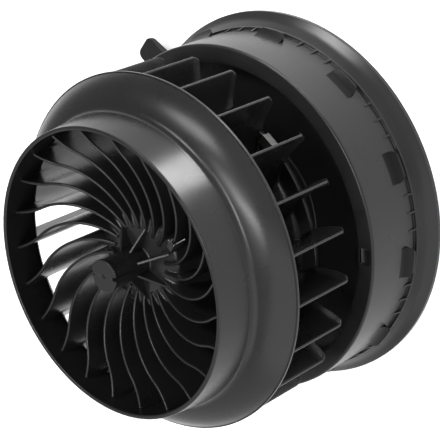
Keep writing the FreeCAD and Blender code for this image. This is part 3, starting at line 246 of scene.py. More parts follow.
def parallel(corners, gap):
    """The corners of an open line of slopes moved sideways by gap, to its right: each new corner is where the
    two moved slopes cross. A corner's radius grows or shrinks by the gap, as its turn asks."""
    line = np.array(corners, float)
    run = np.diff(line[:, :2], axis=0)
    run /= np.linalg.norm(run, axis=1)[:, None]
    side = np.stack([run[:, 1], -run[:, 0]], 1) * gap
    first = np.concatenate([side[:1], side])
    last = np.concatenate([side, side[-1:]])
    spread = 1 + (first * last).sum(1) / gap ** 2
    moved = line[:, :2] + (first + last) / spread[:, None]
    bend = np.zeros(len(line))
    bend[1:-1] = np.sign(run[:-1, 0] * run[1:, 1] - run[:-1, 1] * run[1:, 0])
    radius = np.where(line[:, 2] > 0, np.maximum(line[:, 2] + bend * gap, LEAST_ROUND), 0)
    return np.column_stack([moved, radius])


def joined(points, faces):
    """Merges equal points, drops sides of no length and turns the faces outward by the sign of the volume."""
    cells = np.round(points / SAME_PLACE).astype(np.int64)
    first, link = np.unique(cells, axis=0, return_index=True, return_inverse=True)[1:]
    quads = link.reshape(-1)[faces]
    same = quads == np.roll(quads, -1, 1)
    whole = quads[~same.any(1)]
    part = quads[same.sum(1) == 1]
    gone = same[same.sum(1) == 1]
    threes = part[~gone].reshape(-1, 3)
    points = points[first]
    triangles = np.concatenate([whole[:, [0, 1, 2]], whole[:, [0, 2, 3]], threes])
    a, b, c = (points[triangles[:, k]] for k in range(3))
    if np.einsum("ij,ij->i", a, np.cross(b, c)).sum() < 0:
        whole, threes = whole[:, ::-1], threes[:, ::-1]
    return points, whole.tolist() + threes.tolist()


def grid_faces(rows, columns, wrap_rows, wrap_columns):
    """Quads of a grid of points, row by row, closed round in either direction."""
    down = np.arange(rows if wrap_rows else rows - 1)
    along = np.arange(columns if wrap_columns else columns - 1)
    i, j = np.meshgrid(down, along, indexing="ij")
    here, below = i * columns, (i + 1) % rows * columns
    beside = (j + 1) % columns
    return np.stack([here + j, below + j, below + beside, here + beside], -1).reshape(-1, 4)


def swept(outline, angles, change=None):
    """An outline of (radius, height) carried round the Z axis: each point at each angle is
    (r cos a, r sin a, h). change may move radii and heights as whole arrays."""
    radius = np.repeat(outline[:, :1], len(angles), 1)
    height = np.repeat(outline[:, 1:2], len(angles), 1)
    around = np.repeat(angles[None], len(outline), 0)
    if change:
        radius, height = change(radius, height, around)
    points = np.stack([radius * np.cos(around), radius * np.sin(around), height], -1).reshape(-1, 3)
    return joined(points, grid_faces(len(outline), len(angles), True, True))


def equal_steps(count):
    """Angles of a number of equal steps in a full turn, from zero on."""
    return np.arange(count) * 2 * math.pi / count


def full_turn(count, extra=()):
    """Angles of a full turn, with more where a feature's edges need them."""
    even = equal_steps(count)
    return np.unique(np.round(np.concatenate([even, np.mod(np.array(extra, float), 2 * math.pi)]), 9))


def bar(along, half, low, high, axis="r"):
    """A solid of four-cornered sections carried along a line: at each place its half width, low and high
    sides. Along the radius, low and high are heights. Along Z, they are distances from the axis."""
    along, half, low, high = np.broadcast_arrays(*[np.array(v, float) for v in (along, half, low, high)])
    across = np.stack([-half, half, half, -half], 1)
    level = np.stack([low, low, high, high], 1)
    run = np.repeat(along[:, None], 4, 1)
    order = (run, across, level) if axis == "r" else (level, across, run)
    points = np.stack(order, -1).reshape(-1, 3)
    count = len(along)
    faces = grid_faces(count, 4, False, True)
    ends = np.array([[0, 1, 2, 3], [4 * count - 1, 4 * count - 2, 4 * count - 3, 4 * count - 4]])
    return joined(points, np.concatenate([faces, ends]))


def repeated(shape, angles):
    """Copies of a shape turned about the Z axis, as one mesh."""
    points, faces = shape
    angles = np.atleast_1d(np.array(angles, float))
    cos, sin = np.cos(angles)[:, None], np.sin(angles)[:, None]
    x, y, z = points.T
    turned = np.stack([x * cos - y * sin, x * sin + y * cos, np.broadcast_to(z, (len(angles), len(z)))], -1)
    size = len(points)
    return turned.reshape(-1, 3), [[v + size * k for v in face] for k in range(len(angles)) for face in faces]


def together(*shapes):
    """Several shapes as one mesh."""
    points, faces, start = [], [], 0
    for shape in shapes:
        points.append(shape[0])
        faces += [[v + start for v in face] for face in shape[1]]
        start += len(shape[0])
    return np.concatenate(points), faces


def placed(name, data):
    """Puts a mesh, a lamp or a camera into the scene as an object."""
    made = bpy.data.objects.new(name, data)
    bpy.context.scene.collection.objects.link(made)
    return made


def piece(name, shape, body, material, stands_for, bevel=0.0):
    """Puts a shape into a mesh object that rides on a body, with its edges rounded by a live bevel."""
    mesh = bpy.data.meshes.new(name)
    mesh.from_pydata(shape[0].tolist(), [], shape[1])
    mesh.polygons.foreach_set("use_smooth", np.ones(len(mesh.polygons), bool))
    mesh.materials.append(material)
    made = placed(name, mesh)
    if bevel:
        edge = made.modifiers.new("rounded edges", "BEVEL")
        edge.width = bevel
        edge.segments = BEVEL_STEPS
        edge.limit_method = "ANGLE"
        edge.angle_limit = BEVEL_ANGLE
        edge.harden_normals = True
    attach(made, body)
    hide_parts(stands_for)


# Fan wheel

RIM_ROUND = 0.6 * MM
REAR_ROUND = 0.3 * MM
LIP_ROUND = 0.2 * MM
LIP_HOLLOW = 0.15 * MM
HUB_ROUND = 0.5 * MM
FLANK_FOOT = 5.0 * MM  # hollow where the hub's flat rim turns into its flank
NOSE_ROUND = 2.4 * MM
BOSS_HOLLOW = 0.8 * MM
UNDERSIDE_ROUND = 0.4 * MM  # least rounding of the hub's underside
RIM_OVERRUN = 5 * MM  # the underside's line starts this far outside the rim
CAP_HOLLOW = 0.15 * MM
CAP_BACK_ROUND = 0.2 * MM
CAP_ROUND = 0.35 * MM
DIMPLE_RADIUS = 0.95 * MM
DIMPLE_FLOOR = 0.75 * MM  # radius of the floor of the cap's dimple
DIMPLE_DEPTH = 0.5 * MM
DIMPLE_CENTRE = 0.55 * MM  # depth of the dimple on the axis
DIMPLE_ROUND = 0.1 * MM
BORE_END_ROUND = 0.2 * MM
BORE_ROUND = 0.3 * MM
CORE_ROUND = 0.4 * MM
CORE_HOLLOW = 1.0 * MM
CORE_SINK = 1.2 * MM  # from the nose's underside down to the core's corner
NOTCH_SLANT = math.radians(0.6)  # turn over which a notch's side falls
HUB_AROUND = 240  # points round the hub
WEB_SINK = 0.6 * MM  # how far a web reaches into the boss
WEB_ROOT = 1.0 * MM  # how far a web reaches below the nose's edge
WEB_END = 0.5 * MM  # how far a web stands out of the nose at its outer end
WEB_BEVEL = 0.3 * MM


def mouth_line(w):
    """Outer line of the shroud from the front rim to the rear lip, as slopes with rounded corners."""
    foot = w.rim_height - w.mouth_depth
    lip_line = w.rim_height - w.shroud_depth + w.lip_height
    return [
        (w.mouth_radius, w.rim_height, RIM_ROUND),
        (w.mouth_radius + w.mouth_flare, foot, w.shoulder_round),
        (w.dome_corner_radius, w.rim_height - w.dome_corner_depth, w.dome_round),
        (w.shroud_radius - w.lip_step, lip_line, LIP_HOLLOW),
    ]


def inner_line(w):
    """Inner line of the shroud, one wall inside the outer one and carried on to the rear edge."""
    line = parallel(mouth_line(w), w.shroud_wall)
    line[0] = (w.mouth_radius - w.shroud_wall, w.rim_height, RIM_ROUND)
    slope = (line[3, 0] - line[2, 0]) / (line[3, 1] - line[2, 1])
    edge = w.rim_height - w.shroud_depth
    line[3] = (line[3, 0] + (edge - line[3, 1]) * slope, edge, REAR_ROUND)
    return line


def shroud_shape(w):
    """The shroud: outer line, rear lip and inner line carried round the axis."""
    edge = w.rim_height - w.shroud_depth
    outer = mouth_line(w) + [
        (w.shroud_radius, edge + w.lip_height, LIP_ROUND),
        (w.shroud_radius, edge, REAR_ROUND),
    ]
    inner = [tuple(corner) for corner in inner_line(w)[::-1]]
    return swept(rounded(outer + inner), full_turn(AROUND))


def hub_line(w):
    """Top line of the hub from its rim over the hollow flank to the boss."""
    back = w.rim_height - w.fan_depth
    return [
        (w.hub_radius, back + w.hub_wall, HUB_ROUND),
        (w.hub_flat, back + w.hub_wall, FLANK_FOOT),
        (w.flank_corner_radius, w.flank_corner_height, w.flank_round),
        (w.nose_radius, w.nose_edge, NOSE_ROUND),
        (w.boss_radius, w.nose_height, BOSS_HOLLOW),
    ]


def hub_shape(w):
    """The hub as one outline carried round the axis: flank, nose, boss with its cap, core with the shaft's
    bore, and underside. Two notches are sunk into the boss where the angle is near theirs."""
    back = w.rim_height - w.fan_depth
    top = hub_line(w)
    start = (w.hub_radius + RIM_OVERRUN, *top[0][1:])
    under = parallel([start] + top[1:4], -w.hub_wall)[:0:-1]
    under = [(across, up, max(radius, UNDERSIDE_ROUND)) for across, up, radius in under]
    cap_back = w.cap_top - w.cap_height
    outline = rounded(top + [
        (w.boss_radius, cap_back, CAP_HOLLOW),
        (w.cap_radius, cap_back, CAP_BACK_ROUND),
        (w.cap_radius, w.cap_top, CAP_ROUND),
        (DIMPLE_RADIUS, w.cap_top, DIMPLE_ROUND),
        (DIMPLE_FLOOR, w.cap_top - DIMPLE_DEPTH, DIMPLE_ROUND),
        (0.0, w.cap_top - DIMPLE_CENTRE, 0),
        (0.0, w.bore_top, 0),
        (w.shaft_radius, w.bore_top, BORE_END_ROUND),
        (w.shaft_radius, w.core_back, BORE_ROUND),
        (w.core_radius, w.core_back, CORE_ROUND),
        (w.core_radius, w.nose_height - w.hub_wall - CORE_SINK, CORE_HOLLOW),
    ] + under + [(w.hub_radius, back, HUB_ROUND)])
    edge = math.asin(w.notch_half / w.cap_radius)
    sides = (-edge - NOTCH_SLANT, -edge, edge, edge + NOTCH_SLANT)
    extra = [w.notch_turn + middle + side for middle in (0, math.pi) for side in sides]

    def notched(radius, height, around):
        near = np.minimum(np.abs(np.mod(around - w.notch_turn, math.pi)),
                          np.abs(np.mod(w.notch_turn - around, math.pi)))
        cut = (near <= edge + ALLOWANCE) & (height > w.notch_back) & (radius > w.notch_floor)
        return np.where(cut, w.notch_floor, radius), height

    return swept(outline, full_turn(HUB_AROUND, extra), notched)


def web_shape(w):
    """Webs round the boss: each falls in a straight line from the boss to the nose's edge."""
    along = np.array([w.boss_radius - WEB_SINK, w.web_reach])
    foot = w.nose_edge - WEB_ROOT
    high = np.array([w.nose_height + w.web_rise, w.nose_edge + WEB_END])
    web = bar(along, w.web_wall / 2, foot, high)
    return repeated(web, w.web_turn + equal_steps(w.web_count))


# A blade's rows of points, and the small values of its edges
CURL = 1 - np.cos(np.radians([0, 22.5, 45, 67.5, 90]))  # rows over a free edge, in half walls
FREE_ROWS = np.array([2, 4])  # the next rows from a free edge, in half walls
ROOT_ROWS = np.array([0, 0.06, 0.2, 0.42, 0.7, 1.0])  # rows over a root's fillet, as shares of its radius
MIDDLE_ROWS = 6  # rows between the two edges' own
OUTER_RUN = np.array([1.2, 2, 3, 4.5, 6.5, 8.5, 10, 11.5]) * MM  # rows from the tip to the mouth's wall
MOUTH_RUN = np.linspace(12.6, 18.6, 16) * MM  # close rows where the blade passes the mouth's wall
INNER_RUN = 19.6 * MM  # where the rows inside the mouth start
INNER_ROWS = 44  # rows from there to the blade's inner end
DOME_START = 2 * MM  # from the front rim's radius out to the dome, past the mouth's wall
HUB_INSET = 0.1 * MM  # a blade stands on the hub up to this far inside its rim
LEAST_HEIGHT = 0.6 * MM  # least height of a blade
LEAST_MIDDLE = 1.0 * MM  # least height between a blade's fillets


def blade_spine(w, run):
    """Points and headings along a blade's mean line from its tip: a straight radial run, then an arc to one
    side and a longer arc back, each point being the arc's centre plus its radius along the heading's side."""
    first = np.array([w.blade_tip - w.blade_run, -w.outer_bend])
    joint = first + w.outer_bend * np.array([-math.sin(w.outer_turn), math.cos(w.outer_turn)])
    second = joint + w.inner_bend * np.array([-math.sin(w.outer_turn), math.cos(w.outer_turn)])
    one = np.clip((run - w.blade_run) / w.outer_bend, 0, w.outer_turn)
    bend_end = w.blade_run + w.outer_bend * w.outer_turn
    heading = one - np.clip((run - bend_end) / w.inner_bend, 0, w.inner_turn)
    straight = np.stack([w.blade_tip - run, np.zeros_like(run)], -1)
    outer = first + w.outer_bend * np.stack([-np.sin(one), np.cos(one)], -1)
    inner = second + w.inner_bend * np.stack([np.sin(heading), -np.cos(heading)], -1)
    bent = np.where((run <= bend_end)[:, None], outer, inner)
    place = np.where((run <= w.blade_run)[:, None], straight, bent)
    return place, np.stack([-np.sin(heading), np.cos(heading)], -1)


def far_from(line, radius, height):
    """Least distance from each (radius, height) to a line of points."""
    start, run = line[:-1], np.diff(line, axis=0)
    keep = (run ** 2).sum(1) > SAME_PLACE ** 2
    start, run = start[keep], run[keep]
    place = np.stack([radius, height], -1)[..., None, :]
    share = np.clip(((place - start) * run).sum(-1) / (run ** 2).sum(1), 0, 1)
    return np.linalg.norm(place - start - share[..., None] * run, axis=-1).min(-1)


def open_line(corners):
    """The rounded points of a line that has two ends, which stay sharp."""
    line = np.array(corners, float)
    line[[0, -1], 2] = 0
    return rounded(line)


def blade_shape(w):
    """One blade as two faces half a wall each side of its mean surface. The mean surface is the spine raised
    from the hub to the front edge or the shroud. The half wall flares as a quarter circle towards the hub
    and the shroud, and shrinks as a half circle at the free edges, where the two faces meet."""
    half = w.blade_wall / 2
    curl = half * CURL
    bend_end = w.blade_run + w.outer_bend * w.outer_turn
    total = bend_end + w.inner_bend * w.inner_turn
    inside = np.linspace(INNER_RUN, total - half, INNER_ROWS)
    run = np.unique(np.concatenate([curl, OUTER_RUN, MOUTH_RUN, inside, total - curl]))
    place, side = blade_spine(w, run)
    radius = np.linalg.norm(place, axis=1)
    back = w.rim_height - w.fan_depth
    inner = open_line(inner_line(w))
    hub = open_line(hub_line(w))
    inner_z = np.interp(radius, inner[:, 0], inner[:, 1])
    hub_top = np.interp(radius, hub[::-1, 0], hub[::-1, 1])
    lead = w.rim_height - w.lead_depth - (w.mouth_radius - w.shroud_wall - radius) * math.tan(w.lead_slope)
    mid_wall = np.interp(radius - w.shroud_wall / 2, inner[:, 0], inner[:, 1])
    mid_wall = np.where(radius > w.mouth_radius + DOME_START, inner_z + w.shroud_wall / 2, mid_wall)
    high = np.minimum(lead, mid_wall)
    walled_top = high > inner_z - ALLOWANCE
    in_hub = radius < w.hub_radius - HUB_INSET
    low = np.where(in_hub, hub_top - w.hub_wall / 2, back)
    corner = np.clip(radius - (w.blade_tip - w.corner_round), 0, w.corner_round)
    low = low + w.corner_round - np.sqrt(np.maximum(w.corner_round ** 2 - corner ** 2, 0))
    high = np.maximum(high, low + LEAST_HEIGHT)
    rise = ROOT_ROWS * w.root_round
    free = np.concatenate([curl, half * FREE_ROWS])

    def steps(walled, wall):
        """Distances of the rows from an edge: past the wall and its fillet, or over the free edge."""
        rooted = np.maximum(wall, 0)[:, None] + rise[None]
        rooted = np.concatenate([np.zeros((len(radius), 1)), rooted], 1)
        return np.where(walled[:, None], rooted, free[None])

    bottom = steps(in_hub, np.full(len(radius), w.hub_wall / 2))
    top = steps(walled_top, high - inner_z)
    needed = bottom[:, -1] + top[:, -1] + LEAST_MIDDLE
    shrink = np.minimum(1, (high - low) / needed)[:, None]
    bottom, top = bottom * shrink, top * shrink
    first = low[:, None] + bottom
    last = high[:, None] - top
    share = np.linspace(0, 1, MIDDLE_ROWS + 2)[1:-1]
    between = first[:, -1:] + (last[:, -1:] - first[:, -1:]) * share
    height = np.concatenate([first, between, last[:, ::-1]], 1)
    across = np.repeat(radius[:, None], height.shape[1], 1)

    def flare(line, covered):
        """What a root's fillet adds to the half wall: a quarter circle from the line outwards."""
        near = np.where(covered, 0, far_from(line, across, height))
        near = np.minimum(near, w.root_round)
        return w.root_round - np.sqrt(w.root_round ** 2 - (w.root_round - near) ** 2)

    wall = half + flare(inner, height > inner_z[:, None]) + flare(hub, height < hub_top[:, None])
    free_top = np.where(walled_top[:, None], 1, round_edge((high[:, None] - height) / shrink, half))
    free_low = np.where(in_hub[:, None], 1, round_edge((height - low[:, None]) / shrink, half))
    ends = round_edge(np.minimum(run, total - run), half)[:, None]
    wall = wall * np.minimum(np.minimum(free_top, free_low), ends)
    wall[:, [0, -1]] = 0
    wall[[0, -1]] = 0
    shift = side[:, None] * wall[..., None]
    centre = np.repeat(place[:, None], height.shape[1], 1)
    faces = [np.concatenate([centre + shift * way, height[..., None]], -1) for way in (1, -1)]
    rows, columns = height.shape
    quads = grid_faces(rows, columns, False, False)
    points = np.concatenate([face.reshape(-1, 3) for face in faces])
    return joined(points, np.concatenate([quads, quads[:, ::-1] + rows * columns]))


def round_edge(distance, half):
    """Share of the half wall at a distance from a free edge: a quarter circle."""
    return np.sqrt(np.clip(1 - (1 - np.clip(distance / half, 0, 1)) ** 2, 0, 1))


# Housing

LAND_ROUND = 0.7 * MM  # inner edge of the lip, and outer edge of the cup's front
FLOOR_HOLLOW = 1.2 * MM
CUP_ROUND = 0.5 * MM
UNDER_ROUND = 1.0 * MM
BEHIND_LIP_ROUND = 0.6 * MM
FOOT_POINT = 1.3 * MM  # from the flange's edge in to a point on the flat ring that it stands on
FOOT_ROUND = 0.4 * MM
FLANGE_ROUND = 0.35 * MM
STEP_HOLLOW = 0.8 * MM
STEP_ROUND = 0.25 * MM
POCKET_SLANT = 0.1 * MM  # run over which the pocket's near and far sides fall
POCKET_TURN = math.radians(0.12)  # turn over which its other two sides fall
LIP_SKIN = 0.01 * MM  # points this near to the lip's face count as on it
LUG_SINK = 0.05 * MM  # depth of the ramp's end below the collar
LUG_ROOT = 1.0 * MM  # how far a lug reaches into the collar
LUG_ROWS = 13  # along a lug's ramp, and also the points across it
GUSSET_ROOT = 0.4 * MM  # how far a gusset reaches into the step
GUSSET_INSET = 0.1 * MM  # its outer side lies this far inside the step's radius
GUSSET_SINK = 0.5 * MM  # how far a gusset reaches into the collar
TAB_SINK = 0.6 * MM  # how far the tab reaches into the collar
TAB_THICK = 4 * MM  # from the collar to where the tab starts to get thinner
TAB_ARC = math.radians(88)  # the arc of a corner, which stops just short of a quarter circle
TAB_POINTS = 10
RIB_SINK = 0.5 * MM  # how far a rib or boss reaches into the walls beside it and the floor
RIB_LIFT = 2 * MM  # how far a rib's rear edge rises towards the collar
BOSS_POINTS = 32  # points round a screw's boss
SCREWS = 3
LUG_BEVEL = 0.35 * MM
GUSSET_BEVEL = 0.2 * MM
TAB_BEVEL = 0.4 * MM
RIB_BEVEL = 0.2 * MM


def collar_shape(h):
    """The housing's shell: lip, trough, motor cup, outer wall and flange carried round the axis, with the
    pocket sunk into the lip between two angles. The pocket's points on the lip's face close the outline."""
    floor = h.collar_top - h.land_drop
    below = floor - h.wall
    bore = h.collar_radius - h.wall
    outline = rounded([
        (h.land_radius, h.collar_top, LAND_ROUND),
        (h.land_radius, floor, FLOOR_HOLLOW),
        (h.cup_radius, floor, FLOOR_HOLLOW),
        (h.cup_radius, h.cup_front, LAND_ROUND),
        (h.cup_bore, h.cup_front, CUP_ROUND),
        (h.cup_bore, h.cup_back, CUP_ROUND),
        (h.cup_radius, h.cup_back, CUP_ROUND),
        (h.cup_radius, below, UNDER_ROUND),
        (h.land_radius + h.wall, below, UNDER_ROUND),
        (h.land_radius + h.wall, h.collar_top - h.wall, BEHIND_LIP_ROUND),
        (bore, h.collar_top - h.wall, BEHIND_LIP_ROUND),
        (bore, 0, h.rear_cove),
        (h.flange_radius - FOOT_POINT, 0, 0),
        (h.flange_radius, 0, FOOT_ROUND),
        (h.flange_radius, h.flange_edge, FLANGE_ROUND),
        (h.slope_radius, h.slope_height, h.cove),
        (h.step_radius, h.slope_top, STEP_HOLLOW),
        (h.step_radius, h.step_top, STEP_ROUND),
        (h.collar_radius, h.step_top, STEP_ROUND),
        (h.collar_radius, h.collar_top, h.collar_edge),
    ])
    cut = h.pocket_half
    extra = h.pocket_turn + np.array([-cut - POCKET_TURN, -cut, cut, cut + POCKET_TURN])
    on_lip = [h.pocket_far, h.pocket_far - POCKET_SLANT, h.pocket_near + POCKET_SLANT, h.pocket_near]
    outline = np.concatenate([outline, [[radius, h.collar_top] for radius in on_lip]])

    def sunk(radius, height, around):
        near = np.abs(np.mod(around - h.pocket_turn + math.pi, 2 * math.pi) - math.pi) <= cut + ALLOWANCE
        half_way = POCKET_SLANT / 2
        deep = near & (radius > h.pocket_near + half_way) & (radius < h.pocket_far - half_way)
        deep &= height > h.collar_top - LIP_SKIN
        return radius, height - np.where(deep, h.pocket_depth, 0)

    return swept(outline, full_turn(AROUND, extra), sunk)


def lug_angles(h):
    """Angles of the lugs, which lie in equal steps round the collar."""
    return h.lug_phase + equal_steps(h.lug_count)


def lug_shape(h):
    """A lug as sections along Z. Its outer side lies on a circle whose radius falls from the crest to the
    collar with the square of the way left, and its width narrows in straight lines over the cut corners.
    The first and last sections shrink to a point, which closes the ends."""
    crest = h.lug_back + h.lug_crest
    ramp = np.linspace(crest, h.lug_front, LUG_ROWS)
    along = np.concatenate([[h.lug_back, h.lug_back], ramp, [h.lug_front]])
    left = np.clip((h.lug_front - along) / (h.lug_front - crest), 0, 1)
    radius = h.collar_radius - LUG_SINK + h.lug_height * left ** 2
    half = np.interp(along, [h.lug_back, h.lug_back + h.lug_corner], [h.lug_flat, h.lug_half])
    across = half[:, None] * np.linspace(-1, 1, LUG_ROWS)
    outer = np.sqrt(radius[:, None] ** 2 - across ** 2)
    foot = np.full((len(along), 1), h.collar_radius - LUG_ROOT)
    out = np.concatenate([foot, outer, foot], 1)
    across = np.concatenate([across[:, :1], across, across[:, -1:]], 1)
    out[[0, -1]] = h.collar_radius - LUG_ROOT
    across[[0, -1]] = 0
    points = np.stack([out, across, np.repeat(along[:, None], out.shape[1], 1)], -1).reshape(-1, 3)
    return joined(points, grid_faces(len(along), out.shape[1], False, True))


def gusset_shape(h):
    """Three thin ribs of a gap: each runs from the step's edge along the collar, and falls towards it."""
    along = np.array([h.step_top - GUSSET_ROOT, h.step_top, h.gusset_top])
    high = np.array([h.step_radius, h.step_radius, h.collar_radius + h.gusset_rise]) - GUSSET_INSET
    rib = bar(along, h.gusset_wall / 2, h.collar_radius - GUSSET_SINK, high, "z")
    return repeated(rib, math.pi / h.lug_count + h.gusset_step * np.array([-1, 0, 1]))


def tab_shape(h):
    """The locking tab carried along the radius: flat in front, thinner towards its tip, whose corners are
    quarter circles."""
    start = h.tab_reach - h.tab_round
    arc = h.tab_round * np.sin(np.linspace(0, TAB_ARC, TAB_POINTS))
    along = np.concatenate([[h.collar_radius - TAB_SINK, h.collar_radius + TAB_THICK], start + arc])
    past = np.clip(along - start, 0, h.tab_round)
    half = h.tab_half - h.tab_round + np.sqrt(h.tab_round ** 2 - past ** 2)
    ends = [h.collar_radius + TAB_THICK, h.tab_reach]
    wall = np.interp(along, ends, [h.tab_root_wall, h.tab_tip_wall])
    return bar(along, half, h.tab_front - wall, h.tab_front)


def underside_shape(h):
    """Ribs and screw bosses under the floor: a rib is a bar along the radius, and a boss a cylinder that is
    moved out to the screw's place. Both are turned about the axis."""
    high = h.collar_top - h.land_drop - h.wall + RIB_SINK
    inside = h.collar_radius - h.wall
    along = np.array([h.cup_radius - RIB_SINK, h.land_radius + h.wall, inside + RIB_SINK])
    low = np.array([h.stiffener_back, h.stiffener_back, h.stiffener_back + RIB_LIFT])
    rib = bar(along, h.stiffener_wall / 2, low, high)
    ribs = repeated(rib, h.stiffener_turn + equal_steps(h.stiffener_count))
    outline = np.array([[0, h.cover_front], [h.screw_boss, h.cover_front], [h.screw_boss, high], [0, high]])
    boss, faces = swept(outline, equal_steps(BOSS_POINTS))
    boss = boss + np.array([h.screw_pitch, 0, 0])
    return together(ribs, repeated((boss, faces), h.screw_turn + equal_steps(SCREWS)))


# Finishes

def empty_tree(owner):
    """The node tree of a material or a world, with nothing in it yet."""
    owner.use_nodes = True
    owner.node_tree.nodes.clear()
    return owner.node_tree


def add(tree, kind, inputs=None, **fields):
    """Adds a node, sets its fields, and gives each input a value or the output that feeds it."""
    made = tree.nodes.new(kind)
    for key, value in fields.items():
        setattr(made, key, value)
    for key, value in (inputs or {}).items():
        if isinstance(value, bpy.types.NodeSocket):
            tree.links.new(value, made.inputs[key])
        else:
            made.inputs[key].default_value = value
    return made


def finish(name, dark, light, cloud, rough, grain, sink, **fixed):
    """A material whose tone and roughness wander in clouds, with a fine relief. dark and light are hex values
    or the scene's colours, cloud and grain sizes in mm, rough the two ends of the roughness, sink the
    relief's depth in mm, and fixed goes on the shader."""
    dark, light = (linear(tone) if isinstance(tone, str) else tuple(tone) for tone in (dark, light))
    material = bpy.data.materials.new(name)
    tree = empty_tree(material)
    place = add(tree, "ShaderNodeTexCoord").outputs["Object"]
    clouds = add(tree, "ShaderNodeTexNoise", {
        "Vector": place, "Scale": 1 / (cloud * MM), "Detail": 3.0}).outputs["Fac"]
    tone = add(tree, "ShaderNodeMix", {"Factor": clouds}, data_type="RGBA")
    for socket in tone.inputs:
        if socket.type == "RGBA":
            socket.default_value = dark if socket.name == "A" else light
    tone_colour = [socket for socket in tone.outputs if socket.type == "RGBA"][0]
    sheen = add(tree, "ShaderNodeMapRange", {"Value": clouds, "To Min": rough[0], "To Max": rough[1]})
    fine = add(tree, "ShaderNodeTexNoise", {
        "Vector": place, "Scale": 1 / (grain * MM), "Detail": 2.0}).outputs["Fac"]
    relief = add(tree, "ShaderNodeBump", {"Height": fine, "Distance": sink * MM, "Strength": 1.0})
    surface = add(tree, "ShaderNodeBsdfPrincipled", {
        "Base Color": tone_colour, "Roughness": sheen.outputs["Result"],
        "Normal": relief.outputs["Normal"], **fixed})
    add(tree, "ShaderNodeOutputMaterial", {"Surface": surface.outputs["BSDF"]})
    return material


def finishes(c):
    """Every finish of the part by the record's slot, and the lugs' own, which paints shade on them as a
    deeper black with a weaker reflection. Grains finer than 0.4 mm are drawn at 0.4 mm so that they show at
    all."""
    metal = {"Metallic": 1.0}
    satin = {"Specular IOR Level": 0.28}
    # Weaker reflection for the lugs only: part of the shade painted on them
    deep = {"Specular IOR Level": 0.14}
    return {
        # Glass-filled nylon, injection moulded: deep black satin with faint clouds where the fibres surface
        "fan_plastic": finish("nylon glass filled moulded", c.nylon, c.nylon_light,
                              14.0, (0.21, 0.36), 0.4, 0.006, **satin, IOR=1.53),
        # Talc-filled polypropylene, injection moulded: black satin, a little duller than the nylon
        "housing_plastic": finish("polypropylene talc filled moulded", c.polypropylene, c.polypropylene_light,
                                  18.0, (0.22, 0.38), 0.5, 0.008, **satin, IOR=1.49),
        # The same polypropylene on the lugs, with painted shade: a deeper black and a weaker reflection stand
        # in for the dark reflections and shade that the lugs fall into
        "housing_lugs_painted_shade": finish("polypropylene talc filled painted shade", "#0e0e0f", "#131314",
                               18.0, (0.32, 0.38), 0.5, 0.006, **deep, IOR=1.49),
        # Glass-filled polyester, moulded matt
        "card_plastic": finish("polyester glass filled matt", "#262626", "#2f2f30",
                               6.0, (0.5, 0.6), 0.4, 0.01, IOR=1.57),
        # Natural nylon, turned: milky and matt
        "washer_plastic": finish("nylon natural matt", "#e2ddcf", "#d6cfbd",
                                 4.0, (0.4, 0.5), 0.4, 0.004, IOR=1.53),
        # Epoxy dip coat: glossy and slightly uneven
        "capacitor_resin": finish("epoxy dipped glossy", "#b9651f", "#a55617",
                                  2.5, (0.15, 0.25), 1.2, 0.03, IOR=1.55),
        # Pressed carbon: dull and fine grained
        "carbon": finish("carbon pressed dull", "#2b2b2d", "#383839", 2.0, (0.55, 0.7), 0.4, 0.02, IOR=1.8),
        # Moulded rubber: dull black
        "rubber": finish("rubber moulded dull", "#161616", "#1e1e1e",
                         5.0, (0.6, 0.75), 0.5, 0.02, IOR=1.52),
        # Zinc plated sheet steel: bright grey with a soft bloom
        "zinc_plated_steel": finish("steel zinc plated", "#b9bbbe", "#cdced1",
                                    9.0, (0.3, 0.42), 0.6, 0.004, **metal),
        # Bare spring steel strip: grey and satin
        "spring_steel": finish("spring steel rolled", "#686765", "#7c7b79",
                               1.6, (0.38, 0.5), 0.4, 0.004, **metal),
        # Ground shaft steel: bright
        "shaft_steel": finish("steel ground bright", "#cfcfcf", "#dcdcdc",
                              3.0, (0.15, 0.25), 0.4, 0.002, **metal),
        # Stamped laminations, oiled
        "lamination_steel": finish("lamination steel stamped", "#77777a", "#8d8d90",
                                   3.0, (0.4, 0.55), 0.5, 0.02, **metal),
        # Sintered ferrite: charcoal and matt
        "ferrite": finish("ferrite sintered", "#333335", "#414143", 4.0, (0.6, 0.75), 0.5, 0.02, IOR=1.9),
        # Sintered bronze: porous and warm
        "sintered_bronze": finish("bronze sintered", "#b08550", "#c39a66",
                                  2.0, (0.4, 0.55), 0.4, 0.02, **metal),
        # Tinned brass strip
        "tinned_brass": finish("brass tinned", "#cfc9b4", "#dedac9",
                               3.0, (0.22, 0.34), 0.4, 0.003, **metal),
        # Enamelled copper wire: reddish and glossy
        "copper": finish("copper enamelled", "#b4673c", "#c87a4c", 1.5, (0.2, 0.32), 0.5, 0.02, **metal),
    }


FINISHES = {}


def material_of(slot):
    """The finish of a slot. The first call makes them all from the scene's colours."""
    if not FINISHES:
        FINISHES.update(finishes(bpy.context.scene.blower_colours))
    return FINISHES[slot]


# Studio, in metres and watts

FLOOR_HALF = 3.0
FLOOR_DROP = 0.0001  # the floor lies this far below the part, so that the two never share a plane
FLOOR_GLOW = 0.62  # with the lamps' light it makes the floor white where it is seen
PART_MIDDLE = (0, 0, 0.06)
GREY_SIDE = (0.936, 0.341, 0.087)  # direction of the room's grey side
GREY_FROM, GREY_TO = 0.05, 0.7  # cosines to that direction between which white turns to grey
WHITE, GREY = 1.0, 0.45
LIGHT_ON_PART = 0.2  # strength of the room's own light on the part
RIM_CENTRE = (0, 0, 0.1094)  # centre of the wheel's front rim
MOUTH_RADIUS = 0.06  # its radius
CAMERA_WAY = (0.0, -0.7317, 0.6817)  # against the way in which the camera looks
CAMERA_UP = (0.9125, -0.279, -0.2994)  # the picture's up
CAMERA_PLACE = (9.6158, 0.74683, 0.36220)  # mouth radii from the rim's centre: back, to the right and up


